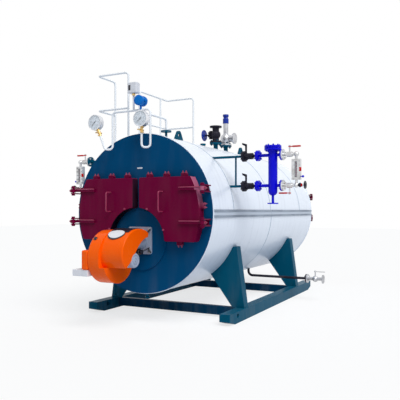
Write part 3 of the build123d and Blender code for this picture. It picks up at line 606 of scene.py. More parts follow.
@dataclass(frozen=True)
class Glass:
    """Clear sight glass with faint smears."""

    name: str
    tint: Color
    roughness: float = 0.03
    cover: float = 0.16
    smear: Grain = Grain(40.0, 3.0)
    smear_dulling: float = 0.06
    smear_cover: float = 0.1
    index: float = 1.45

    def build(self) -> bpy.types.Material:
        """Make the material.

        Returns:
            The material.
        """
        graph = Graph(self.name)
        smear = graph.noise(self.smear)
        return graph.finish(
            Base_Color=self.tint,
            Roughness=self.roughness + smear * self.smear_dulling,
            Alpha=self.cover + smear * self.smear_cover,
            IOR=self.index,
        )


class Finish(Enum):
    """Every finish on the boiler."""

    CLADDING = Cladding("cladding_sheet", (0.8, 0.85, 0.93), (0.42, 0.45, 0.5))
    BAND = Paint("band_grey", (0.47, 0.54, 0.62), (0.56, 0.62, 0.68), 0.38)
    RIBS = RibbedBand("band_ribs", (0.52, 0.58, 0.66), (0.15, 0.19, 0.25))
    TEAL = Paint("teal_gloss", (0.0, 0.076, 0.136), (0.004, 0.1, 0.168), 0.3, shine=0.03)
    # Darker teal for the cross beams: painted shade.
    NAVY = Paint("teal_beam_painted_shade", (0.0, 0.034, 0.08), (0.002, 0.045, 0.1), 0.32, shine=0.03)
    TUBE_PLATE = Paint("teal_plate", (0.0, 0.062, 0.165), (0.002, 0.075, 0.185), 0.3, shine=0.03)
    CRIMSON = Paint("crimson_gloss", (0.145, 0.0, 0.031), (0.17, 0.003, 0.04), 0.28, shine=0.05)
    DOOR = DoorPaint("crimson_door", (0.145, 0.0, 0.031), (0.17, 0.003, 0.04), 0.28, shine=0.05)
    # Lighter crimson for the door handles and the doors' gear: painted highlights.
    RUBBED = Paint(
        "crimson_painted_highlight", (0.29, 0.028, 0.08), (0.42, 0.12, 0.19), 0.3, shine=0.2, wear=0.5
    )
    ORANGE = Paint(
        "orange_gloss", (0.98, 0.11, 0.0), (0.98, 0.15, 0.004), 0.26, shine=0.12, dust=0.03
    )
    BLUE = Paint(
        "royal_blue_gloss", (0.0, 0.0, 0.62), (0.01, 0.012, 0.72), 0.24, shine=0.16, dust=0.04
    )
    SKY = Paint("valve_blue", (0.001, 0.16, 0.57), (0.02, 0.22, 0.62), 0.3)
    COBALT = Paint(
        "cobalt_gloss", (0.001, 0.022, 0.3), (0.012, 0.07, 0.42), 0.28, shine=0.3, dust=0.04
    )
    WHITE = Paint("white_pipe", (0.88, 0.9, 0.92), (0.74, 0.75, 0.77), 0.4)
    BLACK = Paint(
        "black_cast", (0.019, 0.018, 0.028), (0.075, 0.07, 0.095), 0.42, wear=0.4, peel=0.16
    )
    RED = Paint("red_lever", (0.62, 0.01, 0.012), (0.66, 0.04, 0.035), 0.35)
    MOTOR = Paint("motor_grey", (0.38, 0.43, 0.53), (0.3, 0.34, 0.41), 0.4)
    STEEL = Metal("machined_steel", (0.66, 0.67, 0.69), (0.4, 0.39, 0.38), 0.28)
    CASE = Metal("gauge_case", (0.84, 0.85, 0.88), (0.6, 0.61, 0.64), 0.4)
    CAST_STEEL = Metal("cast_steel", (0.6, 0.61, 0.64), (0.3, 0.3, 0.31), 0.36, cast=0.5)
    BRASS = Metal("brass", (0.72, 0.5, 0.2), (0.36, 0.24, 0.1), 0.27)
    DARK = Moulding("dark_plastic", (0.013, 0.012, 0.02), (0.04, 0.04, 0.05), 0.3)
    PALE = Moulding("pale_plastic", (0.76, 0.76, 0.79), (0.6, 0.6, 0.63), 0.42)
    DIAL = Moulding("dial_white", (0.93, 0.93, 0.97), (0.84, 0.84, 0.88), 0.5)
    LINING = Refractory("refractory", (0.55, 0.5, 0.42), (0.12, 0.1, 0.09))
    GLASS = Glass("sight_glass", (0.8, 0.87, 0.88))

    def material(self) -> bpy.types.Material:
        """The finish's material, made once."""
        return bpy.data.materials.get(self.value.name) or self.value.build()


class Bench:
    """Models pieces by hand: primitives, edit mode and modifiers."""

    SHARP = math.radians(48)
    SMOOTH = math.radians(35)
    ROUNDING_FACES = 2

    @staticmethod
    def fresh() -> None:
        """Leave everything deselected in object mode."""
        if bpy.context.object and bpy.context.object.mode != "OBJECT":
            bpy.ops.object.mode_set(mode="OBJECT")
        bpy.ops.object.select_all(action="DESELECT")

    @classmethod
    def only(cls, piece: Piece) -> None:
        """Select one piece and make it active.

        Args:
            piece: The piece.
        """
        cls.fresh()
        piece.select_set(True)
        bpy.context.view_layer.objects.active = piece

    @classmethod
    @contextmanager
    def editing(cls, piece: Piece) -> Iterator[None]:
        """Work on a piece in edit mode, with all of it selected at first.

        Args:
            piece: The piece to shape.

        Returns:
            The context of the work, which ends in object mode.
        """
        cls.only(piece)
        bpy.ops.object.mode_set(mode="EDIT")
        bpy.ops.mesh.select_all(action="SELECT")
        yield
        bpy.ops.object.mode_set(mode="OBJECT")

    @classmethod
    def settle(cls, piece: Piece, name: str) -> Piece:
        """Name a piece, put its place into its mesh and smooth it.

        Args:
            piece: The piece as modelled.
            name: Its name.

        Returns:
            The piece, at the origin.
        """
        cls.only(piece)
        piece.name = piece.data.name = name
        bpy.ops.object.transform_apply(location=True, rotation=True, scale=True)
        bpy.ops.object.shade_smooth_by_angle(angle=cls.SMOOTH)
        return piece

    @classmethod
    def turned(cls, name: str, steps: Profile, sides: Facets = Facets.ROUND) -> Piece:
        """Turn a profile about Z by extruding and resizing a disc.

        Args:
            name: The piece's name.
            steps: Radius and height of each ring, from the bottom up.
            sides: Faces around it.

        Returns:
            The closed piece, standing on the origin.
        """
        cls.fresh()
        radius, height = steps[0]
        bpy.ops.mesh.primitive_circle_add(
            vertices=sides, radius=radius, fill_type="NGON", location=(0, 0, height)
        )
        piece = bpy.context.object
        bpy.ops.object.transform_apply(location=True, rotation=True, scale=True)
        with cls.editing(piece):
            for next_radius, next_height in steps[1:]:
                rise = {"value": (0, 0, next_height - height)}
                bpy.ops.mesh.extrude_region_move(TRANSFORM_OT_translate=rise)
                share = next_radius / radius
                bpy.ops.transform.resize(value=(share, share, 1), center_override=(0, 0, next_height))
                radius, height = next_radius, next_height
            bpy.ops.mesh.select_all(action="SELECT")
            bpy.ops.mesh.normals_make_consistent(inside=False)
        return cls.settle(piece, name)

    @classmethod
    def slab(cls, name: str, low: Vector, high: Vector, soft: float) -> Piece:
        """Box between two corners with rounded edges.

        Args:
            name: The piece's name.
            low: Lowest corner.
            high: Highest corner.
            soft: Width of its rounded edges.

        Returns:
            The piece.
        """
        cls.fresh()
        bpy.ops.mesh.primitive_cube_add(size=1, location=(low + high) / 2)
        piece = bpy.context.object
        piece.scale = high - low
        bpy.ops.object.transform_apply(location=True, rotation=True, scale=True)
        with cls.editing(piece):
            bpy.ops.mesh.select_mode(type="EDGE")
            bpy.ops.mesh.select_all(action="DESELECT")
            bpy.ops.mesh.edges_select_sharp(sharpness=cls.SHARP)
            bpy.ops.mesh.bevel(offset=soft, segments=cls.ROUNDING_FACES, affect="EDGES")
        return cls.settle(piece, name)

    @staticmethod
    def stand(start: Vector, axis: Vector) -> Matrix:
        """Matrix that stands a piece made on Z at a point, along an axis."""
        return Matrix.Translation(start) @ axis.to_track_quat("Z", "Y").to_matrix().to_4x4()

    @classmethod
    def put(cls, piece: Piece, start: Vector, axis: Vector) -> Piece:
        """Move a piece made on Z to a point, along an axis.

        Args:
            piece: The piece, standing on the origin.
            start: Where its foot goes.
            axis: Where its Z goes.

        Returns:
            The same piece, with its place in its mesh.
        """
        piece.matrix_world = cls.stand(start, axis)
        return cls.settle(piece, piece.name)

    @classmethod
    def rod(cls, name: str, start: Vector, end: Vector, radius: float) -> Piece:
        """Round rod between two points.

        Args:
            name: The piece's name.
            start: One end.
            end: The other end.
            radius: Half its thickness.

        Returns:
            The piece.
        """
        along = end - start
        piece = cls.turned(name, [(radius, 0.0), (radius, along.length)], Facets.ROD)
        return cls.put(piece, start, along)

    @classmethod
    def copies(cls, name: str, model: Piece, places: Iterable[Matrix]) -> Piece:
        """Copy a piece to each place, joined as one.

        Args:
            name: The new piece's name.
            model: The piece to copy, as made at the origin.
            places: Where the copies go.

        Returns:
            The joined copies.
        """
        made = []
        for place in places:
            twin = model.copy()
            twin.data = model.data.copy()
            twin.data.transform(place)
            bpy.context.scene.collection.objects.link(twin)
            made.append(twin)
        return cls.join(name, made)

    @classmethod
    def repeated(cls, name: str, model: Piece, places: Iterable[Matrix]) -> Piece:
        """Copy a piece to each place, joined as one, and drop the model.

        Args:
            name: The new piece's name.
            model: The piece to copy, as made at the origin.
            places: Where the copies go.

        Returns:
            The joined copies.
        """
        piece = cls.copies(name, model, places)
        bpy.data.objects.remove(model)
        return piece

    @classmethod
    def join(cls, name: str, pieces: Sequence[Piece]) -> Piece:
        """Join pieces into one.

        Args:
            name: The new piece's name.
            pieces: What to join.

        Returns:
            The joined piece.
        """
        cls.fresh()
        for piece in pieces:
            piece.select_set(True)
        bpy.context.view_layer.objects.active = pieces[0]
        if len(pieces) > 1:
            bpy.ops.object.join()
        return cls.settle(bpy.context.object, name)

    @classmethod
    def modify(cls, piece: Piece, kind: str, **settings: object) -> None:
        """Add a modifier and apply it.

        Args:
            piece: The piece.
            kind: The modifier's type.
            settings: Its properties.
        """
        cls.only(piece)
        modifier = piece.modifiers.new(kind.lower(), kind)
        for key, value in settings.items():
            setattr(modifier, key, value)
        bpy.ops.object.modifier_apply(modifier=modifier.name)


def dress(piece: Piece, finish: Finish, body: str = ROOT, slot: str = "") -> Piece:
    """Give a new piece its finish and its body.

    Args:
        piece: The piece.
        finish: Its finish.
        body: The body that it rides on.
        slot: The record's material slot that it belongs to; not used.

    Returns:
        The same piece.
    """
    piece.data.materials.clear()
    piece.data.materials.append(finish.material())
    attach(piece, body)
    LOG.info("%s: %s on %s", piece.name, finish.value.name, body)
    return piece


@dataclass(frozen=True)
class Fastener:
    """A stud with a nut at each end, modelled once for each use."""

    nut: float
    stud: float
    thickness: float
    spare: float
    chamfer: float = 0.002
    chamfer_share: float = 0.86
    tip_share: float = 0.8

    def model(self, grip: float) -> Piece:
        """Make one stud bolt along Z, centred on its grip.

        Args:
            grip: Thickness that it clamps.

        Returns:
            The piece.
        """
        half = grip / 2
        nut_top = half + self.thickness
        top = [
            (self.stud, half),
            (self.nut, half),
            (self.nut, nut_top - self.chamfer),
            (self.nut * self.chamfer_share, nut_top),
            (self.stud, nut_top),
            (self.stud * self.tip_share, nut_top + self.spare),
        ]
        steps = [(radius, -height) for radius, height in reversed(top)] + top
        return Bench.turned("stud_bolt", steps, Facets.HEX)

    @staticmethod
    def circle(centre: Vector, axis: Vector, radius: float, count: int = 4) -> list[Matrix]:
        """Places of bolts on a circle.

        Args:
            centre: The circle's centre, halfway through the grip.
            axis: The circle's axis.
            radius: The circle's radius.
            count: How many bolts.

        Returns:
            One matrix for each bolt.
        """
        base = Bench.stand(centre, axis)
        places = []
        for step in range(count):
            turn = Matrix.Rotation(math.tau * (step + 0.5) / count, 4, "Z")
            places.append(base @ turn @ Matrix.Translation((radius, 0, 0)))
        return places


class CadFinishes:
    """Finishes of the frame's own nodes."""

    NODES = {
        Finish.CLADDING: ("shell",),
        Finish.RIBS: ("side_bands",),
        Finish.TUBE_PLATE: ("front_plate", "rear_plate", "furnace_cover"),
        Finish.TEAL: (
            "left_rail", "right_rail", "front_saddle", "rear_saddle", "lifting_lugs",
            "top_nozzles", "level_pipes", "drain_pipes", "flue_outlet",
        ),
        # Cross beams in the darker teal: painted shade.
        Finish.NAVY: ("cross_beams",),
        Finish.DOOR: ("left_door", "right_door"),
        Finish.CRIMSON: ("rear_doors", "hinge_brackets"),
        # Handles in the lighter crimson: painted highlights.
        Finish.RUBBED: ("left_door_handle", "right_door_handle"),
        Finish.LINING: ("left_door_lining", "right_door_lining"),
        Finish.ORANGE: ("burner_drum", "burner_hood", "burner_side_box"),
        Finish.MOTOR: ("burner_motor", "burner_flange", "burner_neck"),
        Finish.PALE: ("terminal_boxes", "pressure_switch"),
        Finish.BLACK: (
            "steam_valve_body", "column_valves", "upper_column_lever", "lower_column_lever",
            "right_drain_wheel", "left_drain_wheel", "blowdown_pipe",
        ),
        Finish.BLUE: ("water_column",),
        Finish.COBALT: ("steam_handwheel", "safety_cap"),
        Finish.SKY: ("pressure_transmitter",),
        Finish.CASE: ("right_pressure_gauge", "left_pressure_gauge"),
        Finish.CAST_STEEL: ("safety_valve_body", "blowdown_valve"),
        Finish.STEEL: (
            "right_gauge_cocks", "left_gauge_cocks", "right_gauge_glass", "left_gauge_glass",
            "blowdown_lever",
        ),
        Finish.WHITE: ("gauge_manifold", "front_railing", "rear_railing"),
        Finish.BRASS: ("gauge_cocks",),
        Finish.RED: (
            "right_upper_cock_lever", "right_lower_cock_lever", "left_upper_cock_lever",
            "left_lower_cock_lever",
        ),
    }

    def build(self) -> None:
        """Dress every node of the frame."""
        left = set(frame["nodes"])
        for finish, names in self.NODES.items():
            for name in names:
                mesh = frame["nodes"][name].data
                mesh.materials.clear()
                mesh.materials.append(finish.material())
                left.discard(name)
        for name in sorted(left):
            LOG.warning("node without a finish: %s", name)


@dataclass
class Sheathing:
    """Joints, screws and end rims of the cladding sheets."""

    strap_width: float = 0.011
    strap_proud: float = 0.003
    strap_thickness: float = 0.0045
    upper_joints: tuple[float, ...] = (0.52, 1.66, 2.9)
    lower_joints: tuple[float, ...] = (1.69,)
    screw_profile: Profile = ((0.006, -0.001), (0.006, 0.002), (0.003, 0.004))
    screw_pitches: int = 20
    rim_radius: float = 0.008
    rim_roll: float = 1.4
    rim_sides: int = 8

    def straps(self, joints: Sequence[float], upper: bool) -> Piece:
        """Sheet joints over half the shell.

        Args:
            joints: Their distances behind the front plate.
            upper: Whether they lie on the upper half.

        Returns:
            The straps as one piece.
        """
        Bench.fresh()
        bpy.ops.mesh.primitive_cylinder_add(
            vertices=Facets.SHELL,
            radius=DATUM.radius + self.strap_proud,
            depth=self.strap_width,
            end_fill_type="NOTHING",
            location=DATUM.origin,
            rotation=(QUARTER, 0, 0),
        )
        piece = bpy.context.object
        with Bench.editing(piece):
            bpy.ops.mesh.bisect(
                plane_co=DATUM.origin, plane_no=UP, clear_inner=upper, clear_outer=not upper
            )
        Bench.modify(piece, "SOLIDIFY", thickness=self.strap_thickness, offset=-1)
        strap = Bench.settle(piece, "strap")
        return Bench.repeated("straps", strap, [Matrix.Translation(REAR * y) for y in joints])

    def screws(self) -> Piece:
        """Sheet screws along the joints.

        Returns:
            All the screws as one piece.
        """
        places = []
        for joints, start in ((self.upper_joints, 0.0), (self.lower_joints, math.pi)):
            for y in joints:
                for step in range(1, self.screw_pitches):
                    angle = start + math.pi * step / self.screw_pitches
                    out = Vector((math.cos(angle), 0, math.sin(angle)))
                    foot = DATUM.at(0, y + self.strap_width, 0) + out * DATUM.radius
                    places.append(Bench.stand(foot, out))
        model = Bench.turned("screw", self.screw_profile, Facets.SCREW)
        return Bench.repeated("cladding_screws", model, places)

    def rims(self) -> Piece:
        """Rolled edges of the cladding at both ends.

        Returns:
            The rims as one piece.
        """
        Bench.fresh()
        bpy.ops.mesh.primitive_torus_add(
            major_radius=DATUM.radius,
            minor_radius=self.rim_radius,
            major_segments=Facets.SHELL,
            minor_segments=self.rim_sides,
            location=DATUM.origin,
            rotation=(QUARTER, 0, 0),
        )
        piece = bpy.context.object
        with Bench.editing(piece):
            bpy.ops.transform.resize(value=(1, self.rim_roll, 1), center_override=DATUM.origin)
        rim = Bench.settle(piece, "rim")
        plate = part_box("shell")[0].y - DATUM.origin.y
        places = [Matrix.Translation(REAR * y) for y in (plate, DATUM.length - plate)]
        return Bench.repeated("cladding_rims", rim, places)

    def build(self) -> None:
        """Model and dress the sheets' details."""
        straps = [self.straps(self.upper_joints, True), self.straps(self.lower_joints, False)]
        dress(self.rims(), Finish.CLADDING, slot="shell")
        dress(Bench.join("cladding_joints", straps), Finish.BAND, slot="shell")
        dress(self.screws(), Finish.STEEL, slot="shell")


@dataclass
class DoorGear:
    """Swing bolts, arc studs, adjusting nuts and arm ridges of one front smokebox door."""

    side: str
    lug_places: tuple[float, ...] = (0.14, 0.348, 0.557)
    lug_top: float = 0.409
    lug_spread: float = 0.018
    lug_depth: float = 0.045
    side_lug: Pair = (0.785, 0.08)
    bottom_lug: Pair = (0.506, -0.319)
    swing_bolt: Fastener = Fastener(nut=0.013, stud=0.007, thickness=0.012, spare=0.014)
    arc_stud: Fastener = Fastener(nut=0.012, stud=0.0065, thickness=0.01, spare=0.01)
    arc_radius: float = 0.36
    arc_angles: Pair = (19.0, 67.0)
    pan_wall: float = 0.008
    hinge_heights: Pair = (0.25, -0.088)
    adjuster_profile: Profile = (
        (0.009, -0.006), (0.009, 0.0), (0.017, 0.0), (0.017, 0.014), (0.009, 0.014), (0.008, 0.026),
    )
    arm_depth: float = 0.024
    arm_half_height: float = 0.014
    arm_length: float = 0.278
    arm_clear: float = 0.032
    ridge_radius: float = 0.0065

    def __post_init__(self) -> None:
        """Find the door in the frame."""
        self.sign = SIDES[self.side]
        self.out = RIGHT * self.sign
        self.pivot = joint_place(f"{self.side}_door_hinge")
        self.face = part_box(f"{self.side}_door_lining")[0].y - self.pan_wall

    def bolts(self) -> Piece:
        """Swing bolts, two at each lug.

        Returns:
            The bolts as one piece.
        """
        lugs = [(x, self.lug_top, RIGHT, UP) for x in self.lug_places]
        lugs.append((*self.side_lug, UP, self.out))
        lugs.append((*self.bottom_lug, RIGHT, DOWN))
        places = []
        for x, z, along, axis in lugs:
            for spread in (-self.lug_spread, self.lug_spread):
                point = DATUM.at(self.sign * x, -self.lug_depth, z) + along * spread
                places.append(Bench.stand(point, axis))
        return Bench.repeated(f"{self.side}_door_bolts", self.swing_bolt.model(0.0), places)

    def arc_studs(self) -> Piece:
        """Studs along the arc over the burner.

        Returns:
            The studs as one piece.
        """
        places = []
        for angle in map(math.radians, self.arc_angles):
            reach = self.out * math.cos(angle) + UP * math.sin(angle)
            point = DATUM.furnace() + reach * self.arc_radius
            point.y = self.face
            places.append(Bench.stand(point, FRONT))
        return Bench.repeated(f"{self.side}_door_arc_studs", self.arc_stud.model(0.0), places)

    def at_hinges(self, x: float, y: float, rise: float) -> list[Matrix]:
        """Places at both hinges, pointing outwards.

        Args:
            x: Their place across the frame.
            y: Their depth in the frame.
            rise: Their height above the hinge's middle.

        Returns:
            One matrix for each hinge.
        """
        heights = [DATUM.origin.z + z + rise for z in self.hinge_heights]
        return [Bench.stand(Vector((x, y, height)), self.out) for height in heights]

    def adjusters(self) -> Piece:
        """Adjusting nuts outside the hinge eyes.

        Returns:
            The nuts as one piece.
        """
        low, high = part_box(f"{self.side}_door")
        outer = high.x if self.sign > 0 else low.x
        model = Bench.turned("adjuster", self.adjuster_profile, Facets.HEX)
        places = self.at_hinges(outer, self.pivot.y, 0.0)
        return Bench.repeated(f"{self.side}_hinge_adjusters", model, places)

    def ridges(self) -> Piece:
        """Lighter crimson rods along the hinge arms' upper edges: painted highlights.

        Returns:
            The ridges as one piece.
        """
        radius, length = self.ridge_radius, self.arm_length - self.arm_clear
        steps = [(radius / 2, 0), (radius, radius), (radius, length - radius), (radius / 2, length)]
        model = Bench.turned("ridge", steps, Facets.BAR)
        start = self.pivot.x - self.sign * self.arm_length
        places = self.at_hinges(start, self.face - self.arm_depth, self.arm_half_height)
        return Bench.repeated(f"{self.side}_arm_highlight_ridges", model, places)

    def build(self) -> None:
        """Model the door's gear and dress it in the lighter crimson of the painted highlights."""
        door = f"{self.side}_door"
        for make in (self.bolts, self.arc_studs, self.adjusters, self.ridges):
            dress(make(), Finish.RUBBED, door, door)


@dataclass
class FlangeBolts:
    """Stud bolts through the flange joints, and the burner flange's corner bolts."""

    small: Fastener = Fastener(nut=0.0105, stud=0.006, thickness=0.01, spare=0.006)
    small_circle: float = 0.0425
    small_pair: float = 0.032
    large: Fastener = Fastener(nut=0.0135, stud=0.008, thickness=0.013, spare=0.008)
    large_circle: float = 0.0625
    large_pair: float = 0.04
    column_circle: float = 0.07
    column_pair: float = 0.048
    column_count: int = 8
    column_axis_share: float = 0.583
    bonnet_circle: float = 0.049
    bonnet_width: float = 0.016
    bonnet_behind: float = 0.078
    bonnet_count: int = 6
    burner_inset: float = 0.026

    def level_bolts(self) -> None:
        """Bolts of the level gauges' joints, each at the upper and the lower pipe."""
        valve_low, valve_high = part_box("column_valves")
        half = self.small_pair / 2
        column, left = "{}_column_lever_turn", "left_{}_cock_turn"
        joints = (
            ("column_valve", column, valve_low.x + half, Finish.BLACK, "column_valves"),
            ("column_inlet", column, valve_high.x + half, Finish.BLUE, "water_column"),
            ("column_outlet", column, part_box("water_column")[1].x, Finish.STEEL, "right_gauge_cocks"),
            ("left_level", left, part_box("level_pipes")[0].x, Finish.STEEL, "left_gauge_cocks"),
        )
        model = self.small.model(self.small_pair)
        for name, turn, x, finish, slot in joints:
            places = []
            for level in LEVELS:
                pivot = joint_place(turn.format(level))
                places += Fastener.circle(Vector((x, pivot.y, pivot.z)), RIGHT, self.small_circle)
            dress(Bench.copies(f"{name}_bolts", model, places), finish, slot=slot)
        bpy.data.objects.remove(model)

    def ridge_bolts(self) -> None:
        """Bolts under the steam and safety valves."""
        places = []
        for node in ("steam_valve_body", "safety_valve_body"):
            low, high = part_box(node)
            centre = Vector((DATUM.origin.x, (low.y + high.y) / 2, low.z))
            places += Fastener.circle(centre, UP, self.large_circle)
        bolts = Bench.repeated("ridge_bolts", self.large.model(self.large_pair), places)
        dress(bolts, Finish.TEAL, slot="top_nozzles")

    def column_top_bolts(self) -> None:
        """Bolts of the water column's cover."""
        low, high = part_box("water_column")
        column_x = high.x - (high.y - low.y) * self.column_axis_share
        centre = Vector((column_x, (low.y + high.y) / 2, high.z - self.column_pair / 2))
        places = Fastener.circle(centre, UP, self.column_circle, self.column_count)
        bolts = Bench.repeated("column_top_bolts", self.small.model(self.column_pair), places)
        dress(bolts, Finish.BLUE, slot="water_column")

    def bonnet_bolts(self) -> None:
        """Bolts of the steam valve's bonnet."""
        wheel = joint_place("steam_wheel_turn")
        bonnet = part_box("steam_handwheel")[1].x + self.bonnet_behind + self.bonnet_width / 2
        centre = Vector((bonnet, wheel.y, wheel.z))
        places = Fastener.circle(centre, RIGHT, self.bonnet_circle, self.bonnet_count)
        bolts = Bench.repeated("bonnet_bolts", self.small.model(self.bonnet_width), places)
        dress(bolts, Finish.BLACK, slot="steam_valve_body")

    def blowdown_bolts(self) -> None:
        """Bolts of the blowdown valve's inlet."""
        lever = joint_place("blowdown_lever_turn")
        centre = Vector((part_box("blowdown_valve")[0].x, lever.y, lever.z))
        places = Fastener.circle(centre, RIGHT, self.small_circle)
        bolts = Bench.repeated("blowdown_bolts", self.small.model(self.small_pair), places)
        dress(bolts, Finish.STEEL, slot="blowdown_valve")

    def burner_bolts(self) -> None:
        """Bolts at the corners of the burner's flange."""
        low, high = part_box("burner_flange")
        places = []
        for x in (low.x + self.burner_inset, high.x - self.burner_inset):
            for z in (low.z + self.burner_inset, high.z - self.burner_inset):
                places.append(Bench.stand(Vector((x, low.y, z)), FRONT))
        bolts = Bench.repeated("burner_flange_bolts", self.large.model(0.0), places)
        dress(bolts, Finish.STEEL, slot="burner_flange")

    def build(self) -> None:
        """Model and dress every set of bolts."""
        self.level_bolts()
        self.ridge_bolts()
        self.column_top_bolts()
        self.bonnet_bolts()
        self.blowdown_bolts()
        self.burner_bolts()


@dataclass
class LeverNuts:
    """Nuts that hold the levers and the handwheel on their stems."""

    radius: float = 0.0115
    height: float = 0.009
    nut_shares: Profile = ((1.0, 0.0), (1.0, 0.85), (0.86, 1.0), (0.5, 1.0), (0.42, 1.5))
    column_share: float = 1.4
    cock_share: float = 1.0
    wheel_share: float = 1.5

    def places(self) -> Iterator[tuple[str, Vector, Vector, float, Finish]]:
        """Where the nuts go.

        Returns:
            Each nut's body, foot, axis, size against the plain nut and finish.
        """
        for level in LEVELS:
            body = f"{level}_column_lever"
            pivot = joint_place(f"{body}_turn")
            pivot.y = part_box(body)[0].y
            yield body, pivot, FRONT, self.column_share, Finish.BLACK
            for side in SIDES:
                body = f"{side}_{level}_cock_lever"
                pivot = joint_place(f"{side}_{level}_cock_turn")
                low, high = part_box(body)
                pivot.z, axis = (high.z, UP) if level == "upper" else (low.z, DOWN)
                yield body, pivot, axis, self.cock_share, Finish.STEEL
        pivot = joint_place("blowdown_lever_turn")
        pivot.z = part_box("blowdown_lever")[1].z
        yield "blowdown_lever", pivot, UP, self.cock_share, Finish.STEEL
        pivot = joint_place("steam_wheel_turn")
        pivot.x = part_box("steam_handwheel")[0].x
        yield "steam_wheel", pivot, LEFT, self.wheel_share, Finish.COBALT

    def build(self) -> None:
        """Model the plain nut, and copy and dress every nut."""
        steps = [(self.radius * across, self.height * up) for across, up in self.nut_shares]
        model = Bench.turned("nut", steps, Facets.HEX)
        for body, foot, axis, share, finish in self.places():
            place = Bench.stand(foot, axis) @ Matrix.Scale(share, 4)
            dress(Bench.copies(f"{body}_nut", model, [place]), finish, body)
        bpy.data.objects.remove(model)


@dataclass
class LeverGrips:
    """Dipped grips over the outer part of the gauge cock levers."""

    bare: float = 0.03
    width: float = 0.026
    cover: float = 0.0035
    edge: float = 0.005

    def grip(self, body: str, pivot: Vector) -> Piece:
        """Model one grip.

        Args:
            body: The lever that it covers.
            pivot: A point on the lever's axis.

        Returns:
            The grip.
        """
        low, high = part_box(body)
        rightward = high.x - pivot.x > pivot.x - low.x
        start = pivot.x + self.bare if rightward else low.x - self.cover
        end = high.x + self.cover if rightward else pivot.x - self.bare
        low_corner = Vector((start, pivot.y - self.width / 2, low.z - self.cover))
        high_corner = Vector((end, pivot.y + self.width / 2, high.z + self.cover))
        return Bench.slab(f"{body}_grip", low_corner, high_corner, self.edge)

    def build(self) -> None:
        """Model and dress all four grips."""
        for side in SIDES:
            for level in LEVELS:
                body = f"{side}_{level}_cock_lever"
                piece = self.grip(body, joint_place(f"{side}_{level}_cock_turn"))
                dress(piece, Finish.RED, body, body)


